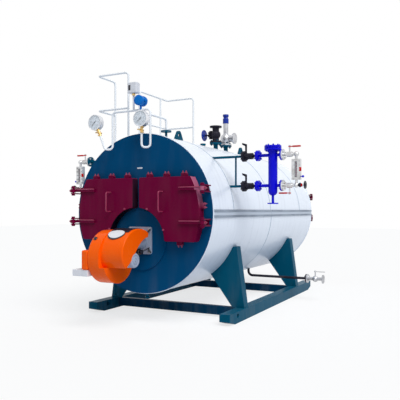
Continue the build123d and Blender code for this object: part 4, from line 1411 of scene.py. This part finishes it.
@dataclass
class BurnerTrim:
    """Window, bare oval plate, motor end, knob, pump and linkage of the burner."""

    oval_centre: Pair = (0.0, -0.43)
    oval_half: Pair = (0.092, 0.05)
    oval_gap: float = 0.011
    oval_cuts: int = 4
    base_border: float = 0.008
    base_gap: float = 0.007
    window_low: Pair = (-0.1, -0.4)
    window_high: Pair = (0.122, -0.16)
    window_gap: float = 0.003
    window_cuts: int = 20
    sheet_start: float = 0.05
    sheet_thickness: float = 0.003
    motor_shares: Profile = (
        (0.93, -0.001), (0.93, 0.003), (0.86, 0.006), (0.72, 0.006), (0.7, 0.002), (0.52, 0.002),
        (0.5, 0.007), (0.3, 0.009), (0.28, 0.005), (0.14, 0.005), (0.12, 0.011), (0.05, 0.012),
    )
    scroll_radius: float = 0.28
    knob_x: float = -0.205
    knob_profile: Profile = (
        (0.02, -0.004), (0.02, 0.006), (0.014, 0.01), (0.012, 0.018), (0.007, 0.02),
    )
    pump_place: Place = (0.02, -0.13, -0.4)
    pump_profile: Profile = (
        (0.03, 0), (0.034, 0.006), (0.034, 0.05), (0.026, 0.056), (0.026, 0.08), (0.012, 0.086),
    )
    rods: tuple[tuple[float, Place, Place], ...] = (
        (0.007, (0.09, -0.13, -0.4), (0.125, -0.033, -0.36)),
        (0.007, (0.05, -0.15, -0.41), (0.05, -0.26, -0.43)),
        (0.01, (0.14, -0.036, -0.165), (0.11, -0.06, -0.205)),
        (0.01, (0.116, -0.036, -0.372), (0.144, -0.036, -0.414)),
    )

    def over_hood(self, x: float, y: float) -> Vector:
        """A point over the hood, from which a sheet is laid down.

        Args:
            x: Its distance to the right of the shell's axis.
            y: Its distance behind the front plate.

        Returns:
            The point.
        """
        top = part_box("burner_hood")[1].z - DATUM.origin.z + self.sheet_start
        return DATUM.at(x, y, top)

    def lay(self, name: str, size: Pair, cuts: int, gap: float) -> Piece:
        """Size the new flat primitive, divide it and lay it onto the hood.

        Args:
            name: The sheet's name.
            size: Its scale across and along the hood.
            cuts: How finely it is divided.
            gap: How far it lies above the hood.

        Returns:
            The sheet as a thin solid.
        """
        piece = bpy.context.object
        piece.scale = (*size, 1)
        bpy.ops.object.transform_apply(location=False, rotation=False, scale=True)
        with Bench.editing(piece):
            bpy.ops.mesh.subdivide(number_cuts=cuts)
        Bench.modify(
            piece,
            "SHRINKWRAP",
            wrap_method="PROJECT",
            target=frame["nodes"]["burner_hood"],
            use_project_z=True,
            use_negative_direction=True,
            use_positive_direction=False,
            offset=gap,
        )
        Bench.modify(piece, "SOLIDIFY", thickness=self.sheet_thickness, offset=0)
        return Bench.settle(piece, name)

    def oval(self, name: str, border: float, gap: float) -> Piece:
        """Oval plate on the hood's slope.

        Args:
            name: Its name.
            border: How far it reaches beyond the bare plate.
            gap: How far it lies above the hood.

        Returns:
            The plate.
        """
        Bench.fresh()
        bpy.ops.mesh.primitive_circle_add(
            vertices=Facets.DIAL,
            radius=1,
            fill_type="TRIFAN",
            location=self.over_hood(*self.oval_centre),
        )
        width, length = self.oval_half
        return self.lay(name, (width + border, length + border), self.oval_cuts, gap)

    def window(self) -> Piece:
        """Dark window over the hood's top.

        Returns:
            The window.
        """
        Bench.fresh()
        low, high = Vector(self.window_low), Vector(self.window_high)
        bpy.ops.mesh.primitive_plane_add(size=1, location=self.over_hood(*(low + high) / 2))
        return self.lay("hood_window", tuple(high - low), self.window_cuts, self.window_gap)

    def motor_end(self) -> Piece:
        """Ribbed end cover of the motor.

        Returns:
            The cover.
        """
        low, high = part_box("burner_motor")
        radius = (high.z - low.z) / 2
        steps = [(share * radius, height) for share, height in self.motor_shares]
        cover = Bench.turned("motor_end", steps, Facets.WHEEL)
        centre = (low + high) / 2
        return Bench.put(cover, Vector((high.x, centre.y, centre.z)), RIGHT)

    def dark_gear(self) -> Piece:
        """Knob on the fan housing, and the pump and rods under the hood.

        Returns:
            The gear as one piece.
        """
        low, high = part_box("burner_drum")
        radius = self.scroll_radius
        centre = Vector((DATUM.origin.x + self.knob_x, low.y + radius, high.z - radius))
        slope = (FRONT + UP).normalized()
        knob = Bench.turned("knob", self.knob_profile, Facets.HUB)
        pump = Bench.turned("pump", self.pump_profile)
        pieces = [
            Bench.put(knob, centre + slope * radius, slope),
            Bench.put(pump, DATUM.at(*self.pump_place), RIGHT),
        ]
        for thickness, start, end in self.rods:
            pieces.append(Bench.rod("rod", DATUM.at(*start), DATUM.at(*end), thickness))
        return Bench.join("burner_dark_gear", pieces)

    def build(self) -> None:
        """Model and dress the burner's trim."""
        dress(self.oval("hood_oval", 0.0, self.oval_gap), Finish.PALE, slot="burner_hood")
        # Dark base reaching past the oval plate: its dark trim, with a painted shadow under the plate.
        base = self.oval("hood_oval_base", self.base_border, self.base_gap)
        dress(base, Finish.DARK, slot="burner_hood")
        dress(self.window(), Finish.DARK, slot="burner_hood")
        dress(self.motor_end(), Finish.MOTOR, slot="burner_motor")
        dress(self.dark_gear(), Finish.DARK, slot="burner_neck")


@dataclass
class Fittings:
    """Bare plate on the front, cock handles, transmitter covers and switch window."""

    plate_low: Pair = (-0.049, 0.476)
    plate_high: Pair = (0.016, 0.491)
    plate_thickness: float = 0.003
    plate_edge: float = 0.0008
    cock_shift: float = 0.006
    left_cock_inset: float = 0.012
    left_cock_lean: float = 0.018
    left_cock_slope: float = 0.4
    bar_profile: Profile = ((0.006, -0.024), (0.0065, 0.0), (0.006, 0.024))
    bar_proud: float = 0.002
    union_profile: Profile = ((0.0165, -0.008), (0.0195, -0.006), (0.0195, 0.006), (0.0165, 0.008))
    union_rise: float = 0.012
    union_drop: float = 0.014
    cover_shares: Profile = ((0.94, 0.0), (0.94, 0.004), (0.8, 0.008), (0.5, 0.009))
    gland_profile: Profile = ((0.016, 0.0), (0.016, 0.014), (0.011, 0.016), (0.01, 0.03))
    gland_sunk: float = 0.004
    switch_height: float = 0.114
    switch_pane: Pair = (0.014, 0.04)
    switch_pane_depths: Pair = (-0.002, 0.001)
    switch_pane_margin: float = 0.03
    switch_pane_edge: float = 0.001
    switch_nut_profile: Profile = ((0.018, -0.022), (0.018, -0.004), (0.014, 0.0))

    def plate(self) -> Piece:
        """Bare plate on the front plate.

        Returns:
            The plate.
        """
        low_x, low_z = self.plate_low
        high_x, high_z = self.plate_high
        low = DATUM.at(low_x, -self.plate_thickness, low_z)
        return Bench.slab("front_bare_plate", low, DATUM.at(high_x, 0, high_z), self.plate_edge)

    def cock_handles(self) -> Piece:
        """Cross handles and union nuts of the gauge cocks.

        Returns:
            The handles and nuts as one piece.
        """
        low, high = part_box("gauge_cocks")
        middle = (low + high) / 2
        gauge_low, gauge_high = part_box("right_pressure_gauge")
        right_x = (gauge_low.x + gauge_high.x) / 2
        left_x = low.x + self.left_cock_inset
        cocks = ((right_x, 0.0, 0.0), (left_x, self.left_cock_lean, self.left_cock_slope))
        bars = []
        unions = []
        for x, lean, slope in cocks:
            start = Vector((x + lean - self.cock_shift, low.y - self.bar_proud, middle.z))
            bars.append(Bench.stand(start, RIGHT))
            for rise in (low.z + self.union_rise, high.z - self.union_drop):
                sway = self.cock_shift - slope * (rise - middle.z)
                unions.append(Bench.stand(Vector((x + sway, middle.y, rise)), UP))
        bar = Bench.turned("bar", self.bar_profile, Facets.BAR)
        union = Bench.turned("union", self.union_profile, Facets.HEX)
        pieces = [Bench.repeated("bars", bar, bars), Bench.repeated("unions", union, unions)]
        return Bench.join("cock_handles", pieces)

    def transmitter_covers(self) -> Piece:
        """Screw covers and cable gland of the transmitter.

        Returns:
            The covers and gland as one piece.
        """
        low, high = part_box("pressure_transmitter")
        middle = (low + high) / 2
        radius = (high.x - low.x) / 2
        centre_z = high.z - radius
        cover = Bench.turned("cover", [(share * radius, height) for share, height in self.cover_shares])
        places = [
            Bench.stand(Vector((middle.x, y, centre_z)), axis)
            for y, axis in ((low.y, FRONT), (high.y, REAR))
        ]
        gland = Bench.turned("gland", self.gland_profile, Facets.HEX)
        gland = Bench.put(gland, Vector((high.x - self.gland_sunk, middle.y, centre_z)), RIGHT)
        return Bench.join("transmitter_covers", [Bench.repeated("covers", cover, places), gland])

    def switch(self) -> None:
        """Model and dress the pressure switch's window and union nut."""
        low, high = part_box("pressure_switch")
        bottom = high.z - self.switch_height
        left, right = self.switch_pane
        near, far = self.switch_pane_depths
        margin = self.switch_pane_margin
        pane = Bench.slab(
            "switch_window",
            Vector((low.x + left, low.y + near, bottom + margin)),
            Vector((low.x + right, low.y + far, high.z - margin)),
            self.switch_pane_edge,
        )
        dress(pane, Finish.DARK, slot="pressure_switch")
        nut = Bench.turned("switch_nut", self.switch_nut_profile, Facets.HEX)
        foot = Vector(((low.x + high.x) / 2, (low.y + high.y) / 2, bottom))
        dress(Bench.put(nut, foot, UP), Finish.BRASS, slot="pressure_switch")

    def build(self) -> None:
        """Model and dress the fittings."""
        dress(self.plate(), Finish.PALE, slot="front_plate")
        dress(self.cock_handles(), Finish.BRASS, slot="gauge_cocks")
        dress(self.transmitter_covers(), Finish.SKY, slot="pressure_transmitter")
        self.switch()


@dataclass
class HandwheelWeb:
    """Dished web between the spokes of the steam valve's handwheel."""

    rim: float = 0.009
    hub_radius: float = 0.018
    edge: float = 0.004
    dish: float = 0.005

    def build(self) -> None:
        """Model and dress the web."""
        low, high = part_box("steam_handwheel")
        radius = (high.z - low.z) / 2 - self.rim
        near = self.edge + self.dish
        rise = [(self.hub_radius, -near), (radius, -self.edge)]
        steps = rise + [(radius, self.edge), (self.hub_radius, near)]
        web = Bench.turned("steam_wheel_web", steps, Facets.WHEEL)
        dress(Bench.put(web, (low + high) / 2, LEFT), Finish.COBALT, "steam_wheel", "steam_handwheel")


@dataclass
class GaugeDial:
    """Dial, scale, pointer and glass of one pressure gauge."""

    side: str
    recess: float = 0.009
    face_share: float = 0.905
    face_edge: float = 0.001
    face_height: float = 0.002
    face_inset: float = 0.002
    glass_setback: float = 0.0025
    glass_edge: float = 0.0012
    glass_height: float = 0.0018
    glass_inset_share: float = 0.03
    numbers: tuple[str, ...] = ("0", "0.5", "1", "1.5", "2", "2.5")
    number_share: float = 0.62
    number_size: float = 0.015
    number_half_depth: float = 0.0004
    print_lift: float = 0.0022
    start_deg: float = 225.0
    sweep_deg: float = 270.0
    marks_between: int = 5
    tick_share: float = 0.8
    tick_half: float = 0.0004
    tick_length: float = 0.007
    tick_edge: float = 0.0002
    needle_tail: Pair = (0.002, -0.024)
    needle_half: float = 0.0045
    needle_tip: float = 0.0012
    needle_share: float = 0.74
    needle_lift: float = 0.003
    cap_profile: Profile = ((0.008, 0.0), (0.008, 0.003), (0.004, 0.005))

    def __post_init__(self) -> None:
        """Find the gauge in the frame."""
        self.slot = f"{self.side}_pressure_gauge"
        low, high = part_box(self.slot)
        middle = (low + high) / 2
        self.radius = (high.z - low.z) / 2 * self.face_share
        self.centre = Vector((middle.x, low.y + self.recess, middle.z))
        self.glass_centre = Vector((middle.x, low.y + self.glass_setback, middle.z))
        self.print_centre = self.centre + FRONT * self.print_lift

    def disc(self, name: str, centre: Vector, edge: float, height: float, inset: float) -> Piece:
        """Thin disc as wide as the dial, chamfered at its front.

        Args:
            name: Its name.
            centre: The centre of its back.
            edge: Height of its straight edge.
            height: Its whole height.
            inset: How far the chamfer reaches inwards.

        Returns:
            The disc.
        """
        steps = [(self.radius, 0.0), (self.radius, edge), (self.radius - inset, height)]
        return Bench.put(Bench.turned(name, steps, Facets.DIAL), centre, FRONT)

    def scale_angle(self, share: float) -> tuple[Vector, float]:
        """Direction and angle at a share of the scale."""
        angle = math.radians(self.start_deg - share * self.sweep_deg)
        return Vector((math.cos(angle), 0, math.sin(angle))), angle

    def ticks(self) -> Piece:
        """Marks of the scale.

        Returns:
            The marks as one piece.
        """
        half = self.tick_half
        low, high = Vector((-half, -half, 0)), Vector((half, half, self.tick_length))
        tick = Bench.slab("tick", low, high, self.tick_edge)
        steps = (len(self.numbers) - 1) * self.marks_between
        places = []
        for step in range(steps + 1):
            out, angle = self.scale_angle(step / steps)
            place = Matrix.Translation(self.print_centre + out * self.radius * self.tick_share)
            places.append(place @ Matrix.Rotation(QUARTER - angle, 4, "Y"))
        return Bench.repeated("ticks", tick, places)

    def number(self, label: str, share: float) -> Piece:
        """A number of the scale.

        Args:
            label: The number as written.
            share: Its place on the scale.

        Returns:
            The number as a mesh.
        """
        out, _ = self.scale_angle(share)
        place = self.print_centre + out * self.radius * self.number_share
        Bench.fresh()
        bpy.ops.object.text_add(location=place, rotation=(QUARTER, 0, 0))
        text = bpy.context.object
        text.data.body = label
        text.data.size = self.number_size
        text.data.extrude = self.number_half_depth
        text.data.align_x = text.data.align_y = "CENTER"
        bpy.ops.object.convert(target="MESH")
        return bpy.context.object

    def pointer(self) -> list[Piece]:
        """Needle at the scale's start and the cap over its pivot.

        Returns:
            The needle and the cap.
        """
        steps = [self.needle_tail, (self.needle_half, 0.0)]
        steps.append((self.needle_tip, self.radius * self.needle_share))
        needle = Bench.turned("needle", steps, Facets.NEEDLE)
        cap = Bench.turned("cap", self.cap_profile, Facets.KNOB)
        out, _ = self.scale_angle(0.0)
        return [
            Bench.put(needle, self.print_centre + FRONT * self.needle_lift, out),
            Bench.put(cap, self.print_centre, FRONT),
        ]

    def build(self) -> None:
        """Model and dress the dial."""
        face = self.disc(
            f"{self.side}_dial", self.centre, self.face_edge, self.face_height, self.face_inset
        )
        dress(face, Finish.DIAL, slot=self.slot)
        last = len(self.numbers) - 1
        numbers = [self.number(label, step / last) for step, label in enumerate(self.numbers)]
        marks = Bench.join(f"{self.side}_dial_marks", [self.ticks(), *numbers, *self.pointer()])
        dress(marks, Finish.DARK, slot=self.slot)
        inset = self.radius * self.glass_inset_share
        glass = self.disc(
            f"{self.side}_dial_glass", self.glass_centre, self.glass_edge, self.glass_height, inset
        )
        dress(glass, Finish.GLASS, slot=self.slot)


@dataclass
class SightGlass:
    """Window, red line, frame nuts and level mark of one gauge glass."""

    side: str
    slot_width: float = 0.026
    slot_depth: float = 0.012
    slot_margin: float = 0.026
    fit: float = 0.001
    pane_depths: Pair = (0.008, 0.004)
    pane_edge: float = 0.001
    card_depths: Pair = (0.002, 0.0)
    card_edge: float = 0.0004
    line_half: float = 0.003
    line_margin: float = 0.004
    line_depths: Pair = (0.003, 0.001)
    mark_half: Pair = (0.012, 0.02)
    mark_depths: Pair = (-0.004, 0.01)
    mark_edge: float = 0.002
    nut_profile: Profile = ((0.0095, -0.001), (0.0095, 0.008), (0.005, 0.008), (0.0045, 0.014))
    nut_inset: Pair = (0.014, 0.018)
    rows: int = 5

    def __post_init__(self) -> None:
        """Find the gauge glass in the frame."""
        self.node = f"{self.side}_gauge_glass"
        self.low, self.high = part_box(self.node)
        self.middle = (self.low + self.high) / 2

    def strip(self, name: str, half: float, margin: float, depths: Pair, edge: float) -> Piece:
        """Upright strip in the slot of the frame.

        Args:
            name: Its name.
            half: Half its width.
            margin: Its distance from both ends of the slot.
            depths: How far its front and its back stand before the slot's back.
            edge: Width of its rounded edges.

        Returns:
            The strip.
        """
        back = self.low.y + self.slot_depth
        near, far = depths
        ends = self.slot_margin + margin
        low = Vector((self.middle.x - half, back - near, self.low.z + ends))
        high = Vector((self.middle.x + half, back - far, self.high.z - ends))
        return Bench.slab(name, low, high, edge)

    def mark(self) -> Piece:
        """Level mark on the frame's outer edge.

        Returns:
            The mark.
        """
        half_x, half_z = self.mark_half
        near, far = self.mark_depths
        low = Vector((self.high.x - half_x, self.low.y + near, self.middle.z - half_z))
        high = Vector((self.high.x + half_x, self.low.y + far, self.middle.z + half_z))
        return Bench.slab("mark", low, high, self.mark_edge)

    def nuts(self) -> Piece:
        """Nuts down both sides of the frame.

        Returns:
            The nuts as one piece.
        """
        inset_x, inset_z = self.nut_inset
        pitch = (self.high.z - self.low.z - 2 * inset_z) / (self.rows - 1)
        places = []
        for row in range(self.rows):
            for x in (self.low.x + inset_x, self.high.x - inset_x):
                foot = Vector((x, self.low.y, self.low.z + inset_z + row * pitch))
                places.append(Bench.stand(foot, FRONT))
        nut = Bench.turned("nut", self.nut_profile, Facets.HEX)
        return Bench.repeated(f"{self.side}_frame_nuts", nut, places)

    def build(self) -> None:
        """Model and dress the window."""
        half = self.slot_width / 2 - self.fit
        pane = self.strip(f"{self.side}_pane", half, self.fit, self.pane_depths, self.pane_edge)
        dress(pane, Finish.GLASS, slot=self.node)
        card = self.strip(f"{self.side}_card", half, self.fit, self.card_depths, self.card_edge)
        dress(card, Finish.DARK, slot=self.node)
        line = self.strip("line", self.line_half, self.line_margin, self.line_depths, self.card_edge)
        mark = Bench.join(f"{self.side}_level_mark", [line, self.mark()])
        dress(mark, Finish.RED, slot=self.node)
        dress(self.nuts(), Finish.STEEL, slot=self.node)


@dataclass
class DrainWheel:
    """Drain valve at the end of a lower gauge cock, with its small spoked handwheel."""

    side: str
    valve_start: float = 0.026
    valve_profile: Profile = (
        (0.012, 0.0), (0.021, 0.003), (0.024, 0.012), (0.021, 0.021), (0.014, 0.024),
    )
    gland_profile: Profile = ((0.014, 0.024), (0.017, 0.025), (0.017, 0.035), (0.011, 0.038))
    knob_rise: float = 0.034
    knob_profile: Profile = (
        (0.005, -0.002), (0.005, 0.014), (0.011, 0.015), (0.012, 0.03), (0.009, 0.034),
    )
    rim_radius: float = 0.0065
    rim_sides: int = 10
    rim_smoothing: float = 0.2
    hub_shares: Profile = ((0.011, -1.0), (0.014, -0.6), (0.014, 0.6), (0.009, 1.0))
    spokes: int = 4
    spoke_start: float = 0.01
    spoke_radius: float = 0.0045

    def __post_init__(self) -> None:
        """Find the wheel in the frame."""
        self.node = f"{self.side}_drain_wheel"
        self.low, self.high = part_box(self.node)
        self.centre = (self.low + self.high) / 2
        self.radius = (self.high.z - self.low.z) / 2 - self.rim_radius

    def valve(self) -> None:
        """Model and dress the drain valve's body and gland, and the vent knob beside the glass."""
        slot = f"{self.side}_gauge_cocks"
        glass = f"{self.side}_gauge_glass"
        low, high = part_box(glass)
        axis, edge = (RIGHT, high.x) if self.side == "right" else (LEFT, low.x)
        elbow = Vector(((low.x + high.x) / 2, (low.y + high.y) / 2, self.centre.z))
        start = elbow + axis * self.valve_start
        body = Bench.turned(f"{self.side}_drain_valve", self.valve_profile)
        dress(Bench.put(body, start, axis), Finish.BLACK, slot=slot)
        gland = Bench.turned(f"{self.side}_drain_gland", self.gland_profile, Facets.HEX)
        dress(Bench.put(gland, start, axis), Finish.RED, slot=slot)
        knob = Bench.turned(f"{self.side}_vent_knob", self.knob_profile, Facets.KNOB)
        foot = Vector((edge, elbow.y, low.z + self.knob_rise))
        dress(Bench.put(knob, foot, axis), Finish.BLUE, slot=glass)

    def rim(self) -> Piece:
        """The wheel's round rim.

        Returns:
            The rim.
        """
        Bench.fresh()
        bpy.ops.mesh.primitive_torus_add(
            major_radius=self.radius,
            minor_radius=self.rim_radius,
            major_segments=Facets.WHEEL,
            minor_segments=self.rim_sides,
            location=self.centre,
            rotation=(0, QUARTER, 0),
        )
        rim = bpy.context.object
        with Bench.editing(rim):
            bpy.ops.mesh.vertices_smooth(factor=self.rim_smoothing)
        return Bench.settle(rim, "rim")

    def hub(self) -> Piece:
        """The wheel's turned hub.

        Returns:
            The hub.
        """
        half = (self.high.x - self.low.x) / 2
        steps = [(radius, half * share) for radius, share in self.hub_shares]
        return Bench.put(Bench.turned("hub", steps, Facets.HUB), self.centre, RIGHT)

    def spoke_set(self) -> Piece:
        """The wheel's spokes, from the hub to the rim.

        Returns:
            The spokes as one piece.
        """
        model = Bench.rod("spoke", UP * self.spoke_start, UP * self.radius, self.spoke_radius)
        places = []
        for step in range(self.spokes):
            angle = math.tau * (step + 0.5) / self.spokes
            places.append(Bench.stand(self.centre, Vector((0, math.cos(angle), math.sin(angle)))))
        return Bench.repeated("spokes", model, places)

    def build(self) -> None:
        """Model the valve, and the wheel in place of its plain disc."""
        self.valve()
        pieces = [self.rim(), self.hub(), self.spoke_set()]
        wheel = dress(Bench.join(f"{self.side}_wheel", pieces), Finish.BLACK, slot=self.node)
        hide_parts(self.node)


@dataclass
class Studio:
    """Camera, lamps, world and floor."""

    eye: Place = (3.182, -4.664, 0.029)
    azimuth_deg: float = 26.147
    focal_share: float = 524.43 / 400
    sensor: float = 36.0
    shift: Pair = (-0.0408, 0.0268)
    far_limit: float = 200.0
    sky: float = 0.36
    sky_color: Color = (0.86, 0.93, 1.0)
    white: Color = (1.0, 1.0, 1.0)
    sun: float = 2.5
    sun_angle_deg: float = 40.0
    sun_turn_deg: Place = (38.7, 0.0, 56.8)
    floor_color: Color = (0.66, 0.72, 0.81)
    floor_seen: Color = (0.94, 0.94, 0.94)
    floor_roughness: float = 0.9
    floor_glow: float = 0.72
    floor_size: float = 60.0

    def camera(self) -> None:
        """Set up the photograph's viewpoint."""
        data = bpy.data.cameras.new("camera")
        data.sensor_width = self.sensor
        data.lens = self.focal_share * self.sensor
        data.shift_x, data.shift_y = self.shift
        data.clip_end = self.far_limit
        camera = bpy.data.objects.new("camera", data)
        camera.location = DATUM.at(*self.eye)
        camera.rotation_euler = (QUARTER, 0, math.radians(self.azimuth_deg))
        bpy.context.scene.collection.objects.link(camera)
        bpy.context.scene.camera = camera

    @staticmethod
    def seen(tree: bpy.types.NodeTree) -> bpy.types.NodeSocket:
        """Share of a ray that shows the background: to the camera, in a reflection or through glass.

        Args:
            tree: The node tree to add to.

        Returns:
            The socket that is 1 for such a ray and 0 for light.
        """
        path = tree.nodes.new("ShaderNodeLightPath")
        shown = path.outputs["Is Camera Ray"]
        for kind in ("Is Glossy Ray", "Is Transmission Ray"):
            either = tree.nodes.new("ShaderNodeMath")
            either.operation = "MAXIMUM"
            tree.links.new(shown, either.inputs[0])
            tree.links.new(path.outputs[kind], either.inputs[1])
            shown = either.outputs[0]
        return shown

    def lamps(self) -> None:
        """A broad sun from the upper right and a pale sky, white where it is seen."""
        lamp = bpy.data.lights.new("sun", "SUN")
        lamp.energy = self.sun
        lamp.angle = math.radians(self.sun_angle_deg)
        lamp_object = bpy.data.objects.new("sun", lamp)
        lamp_object.rotation_euler = [math.radians(turn) for turn in self.sun_turn_deg]
        bpy.context.scene.collection.objects.link(lamp_object)
        world = bpy.data.worlds.new("sky")
        world.use_nodes = True
        bpy.context.scene.world = world
        tree = world.node_tree
        light = tree.nodes["Background"]
        light.inputs["Color"].default_value = (*self.sky_color, 1.0)
        light.inputs["Strength"].default_value = self.sky
        white = tree.nodes.new("ShaderNodeBackground")
        white.inputs["Color"].default_value = (*self.white, 1.0)
        mixed = tree.nodes.new("ShaderNodeMixShader")
        tree.links.new(self.seen(tree), mixed.inputs[0])
        tree.links.new(light.outputs[0], mixed.inputs[1])
        tree.links.new(white.outputs[0], mixed.inputs[2])
        tree.links.new(mixed.outputs[0], tree.nodes["World Output"].inputs[0])

    def floor(self) -> None:
        """Plain pale floor that keeps the shadow."""
        Bench.fresh()
        bpy.ops.mesh.primitive_plane_add(size=self.floor_size, location=(0, 0, 0))
        floor = bpy.context.object
        floor.name = "floor"
        graph = Graph("pale_floor")
        tree = graph.tree
        seen = Wire(graph, self.seen(tree))
        graph.finish(
            Base_Color=graph.mix(seen, self.floor_color, self.floor_seen),
            Roughness=self.floor_roughness,
            Specular_IOR_Level=0.0,
        )
        glow = graph.node("ShaderNodeEmission", {}, {"Color": (*self.white, 1.0), "Strength": 1.0})
        mixed = graph.node("ShaderNodeMixShader", {}, {0: seen * self.floor_glow, 2: glow})
        tree.links.new(graph.shader.outputs[0], mixed.socket.node.inputs[1])
        tree.links.new(mixed.socket, tree.nodes["Material Output"].inputs[0])
        floor.data.materials.append(graph.material)

    def build(self) -> None:
        """Set the stage."""
        bpy.context.scene.view_settings.view_transform = "Standard"
        self.camera()
        self.lamps()
        self.floor()


def main() -> None:
    """Dress the frame, add each sub-assembly's details and set the stage."""
    logging.basicConfig(level=logging.INFO, format="%(message)s")
    assemblies = [CadFinishes(), Sheathing()]
    assemblies += [DoorGear(side) for side in SIDES]
    assemblies += [FlangeBolts(), LeverNuts(), LeverGrips(), BurnerTrim(), Fittings(), HandwheelWeb()]
    for side in SIDES:
        assemblies += [GaugeDial(side), SightGlass(side), DrainWheel(side)]
    for assembly in (*assemblies, Studio()):
        assembly.build()
        LOG.info("%s done", type(assembly).__name__)


if __name__ == "__main__":
    main()
